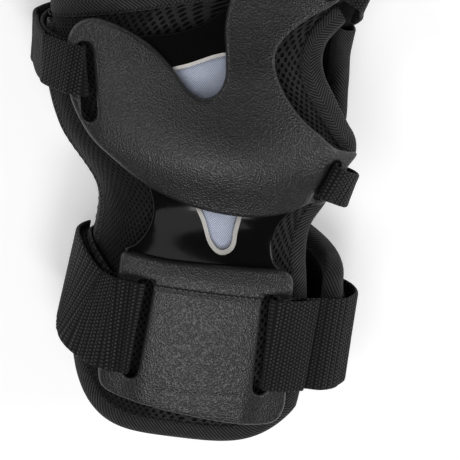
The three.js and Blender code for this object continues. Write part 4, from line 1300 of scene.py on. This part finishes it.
def stitch_faces():
    """One stitch's faces, over rings of points, with its texture coordinates."""
    faces, uvs = [], []
    for r in range(len(STITCH_RINGS) - 1):
        for k in range(STITCH_SIDES):
            a, b = r * STITCH_SIDES + k, r * STITCH_SIDES + (k + 1) % STITCH_SIDES
            faces.append([a, b, b + STITCH_SIDES, a + STITCH_SIDES])
            u, v = r * 0.5, k * 0.2
            uvs.append([(u, v), (u, v + 0.2), (u + 0.5, v + 0.2), (u + 0.5, v)])
    last = (len(STITCH_RINGS) - 1) * STITCH_SIDES
    faces += [list(reversed(range(STITCH_SIDES))), list(range(last, last + STITCH_SIDES))]
    return faces, uvs + [[(0.0, 0.0)] * STITCH_SIDES] * 2


def stitches(name, rows, body=GUARD, slot="binding_tape"):
    """Rows of separate thread stitches, each row given as points and the outward direction there."""
    build = Build()
    faces, uvs = stitch_faces()
    turn = np.arange(STITCH_SIDES) * 2 * math.pi / STITCH_SIDES
    for points, outward in rows:
        lengths = lengths_along(points)

        def at(values, s):
            return np.array([np.interp(s, lengths, values[:, k]) for k in range(3)])

        for middle in np.arange(STITCH["pitch"] / 2, lengths[-1], STITCH["pitch"]):
            here, up = at(points, middle), unit(at(outward, middle))
            forward = at(points, middle + 0.3) - here
            if np.linalg.norm(forward) < 1e-6:
                continue
            forward = unit(forward)
            side = unit(np.cross(up, forward))
            body_points = []
            for along, size in STITCH_RINGS:
                centre = here + forward * (along * STITCH["length"] / 2) - up * (0.22 * along * along)
                round_it = np.cos(turn)[:, None] * side + np.sin(turn)[:, None] * up
                body_points.extend(centre + STITCH["radius"] * size * round_it)
            build.add(body_points, faces, uvs)
    build.finish(name, [THREAD], body, slot)


def beside(path, a, b):
    """A row that runs along stations, at [across, outward] from them."""
    p, across, outward = path
    return p + across * a + outward * b, outward


def across_strap(path, distance_along, width, b):
    """A row across a strap at a distance along it."""
    p, across, outward = path
    k = int(np.argmin(np.abs(lengths_along(p) - distance_along)))
    span = np.linspace(-width / 2 + 1, width / 2 - 1, 12)[:, None]
    return p[k] + across[k] * span + outward[k] * b, np.repeat(outward[k][None], 12, axis=0)


def seam_row(degrees, offset):
    ys = np.linspace(-10, 92, 120)
    points = skin(ys, degrees, offset, False)
    return points, unit(skin(ys, degrees, offset + 1, False) - points)


stitches(
    "binding_stitches",
    [
        beside(palm_edge_path, -1.5, BINDING_PROUD - 0.02),
        beside(back_edge_path, -1.1, BINDING_PROUD - 0.02),
        beside(thumb_path, -0.5, BINDING_PROUD + 0.08),
        beside(finger_path, -0.6, BINDING_PROUD + 0.08),
        seam_row(180 - 9.5, 0.42),
        seam_row(180 + 5, 0.42),
    ],
)
FACE = WEBBING / 2 + 0.05
loop_length = lengths_along(loop_path[0])[-1]
stitches(
    "strap_stitches",
    [
        across_strap(loop_path, loop_length - 1.2, FOREARM_STRAP_WIDTH, FACE),
        across_strap(loop_path, loop_length - 3.4, FOREARM_STRAP_WIDTH, FACE),
        across_strap(wrist_path, 10.5, WRIST_STRAP_WIDTH, FACE),
        across_strap(hand_path, 14, HAND_STRAP_WIDTH, FACE),
    ],
    slot="webbing",
)
for name, path, width, body in (
    ("forearm_tab_stitches", forearm_tab_path, FOREARM_STRAP_WIDTH, FOREARM_TAB),
    ("hand_tab_stitches", hand_tab_path, HAND_STRAP_WIDTH, HAND_TAB),
):
    length = lengths_along(path[0])[-1]
    rows = [across_strap(path, length - s, width, FACE) for s in (2.0, 4.5)]
    stitches(name, rows, body, "webbing")

# ---- The tabs: their placements baked into their meshes ----


def fold(obj):
    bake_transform(obj)


fold(forearm_tab)
fold(hand_tab)

# ---- Floor, light and camera ----


FLOOR_HALF, FLOOR_LINES, FLOOR_Z = 1600, 9, -0.5


def floor():
    build = Build()
    steps = np.linspace(-FLOOR_HALF, FLOOR_HALF, FLOOR_LINES)
    x, y = np.meshgrid(steps, steps, indexing="ij")
    points = np.stack([x, y, np.full_like(x, FLOOR_Z)], -1)
    build.add(points, grid_faces(FLOOR_LINES, FLOOR_LINES), grid_uvs(steps, steps).tolist())
    m = Material("floor_paper", Roughness=0.85, Emission_Color=(1, 1, 1, 1), Emission_Strength=0.3)
    m.colour(m.noise(9, 3), (0.9, 0.9, 0.9), (0.93, 0.93, 0.93))
    m.bump((m.noise(900, 2), 0.03))
    build.finish("floor", [m.data], None, "air_mesh")


def softbox(name, place, size, power):
    """A light that faces the middle of the guard; place and size in millimetres, power in watts."""
    data = bpy.data.lights.new(name, "AREA")
    data.shape = "RECTANGLE"
    data.size, data.size_y = size[0] * MM, size[1] * MM
    data.energy = power
    obj = bpy.data.objects.new(name, data)
    obj.location = Vector(place) * MM
    obj.rotation_euler = (LIGHT_AIM - Vector(place)).to_track_quat("-Z", "Y").to_euler()
    bpy.context.scene.collection.objects.link(obj)


LIGHT_AIM = Vector((0, 50, 30))
floor()
softbox("key", (-560, 420, 620), (260, 260), 1.7)
softbox("overhead", (-110, -190, 880), (760, 560), 3.3)
softbox("forearm_end", (150, -440, 760), (300, 160), 1.9)
softbox("right_strip", (620, 160, 420), (120, 480), 1.9)

world = bpy.data.worlds.new("studio")
world.use_nodes = True
background = world.node_tree.nodes["Background"]
background.inputs["Color"].default_value = (1, 1, 1, 1)
background.inputs["Strength"].default_value = 0.07
bpy.context.scene.world = world
bpy.context.scene.view_settings.view_transform = "Standard"

TARGET = Vector((4.8, 36.8, 50)) * MM
TOWARDS_CAMERA = Vector((-0.1183, 0.2402, 0.9634)).normalized()
ROLL = math.radians(9)
CAMERA_DISTANCE, LENS = 0.8, 192.6  # in metres and in millimetres


def camera():
    data = bpy.data.cameras.new("camera")
    data.sensor_width = 36
    data.lens = LENS
    data.clip_start, data.clip_end = 0.01, 10
    obj = bpy.data.objects.new("camera", data)
    ahead = Vector((0, 1, 0))
    ahead = (ahead - TOWARDS_CAMERA * ahead.dot(TOWARDS_CAMERA)).normalized()
    side = ahead.cross(TOWARDS_CAMERA)
    up = ahead * math.cos(ROLL) - side * math.sin(ROLL)
    right = side * math.cos(ROLL) + ahead * math.sin(ROLL)
    turn = Matrix((right, up, TOWARDS_CAMERA)).transposed().to_4x4()
    obj.matrix_world = Matrix.Translation(TARGET + TOWARDS_CAMERA * CAMERA_DISTANCE) @ turn
    bpy.context.scene.collection.objects.link(obj)
    bpy.context.scene.camera = obj


camera()
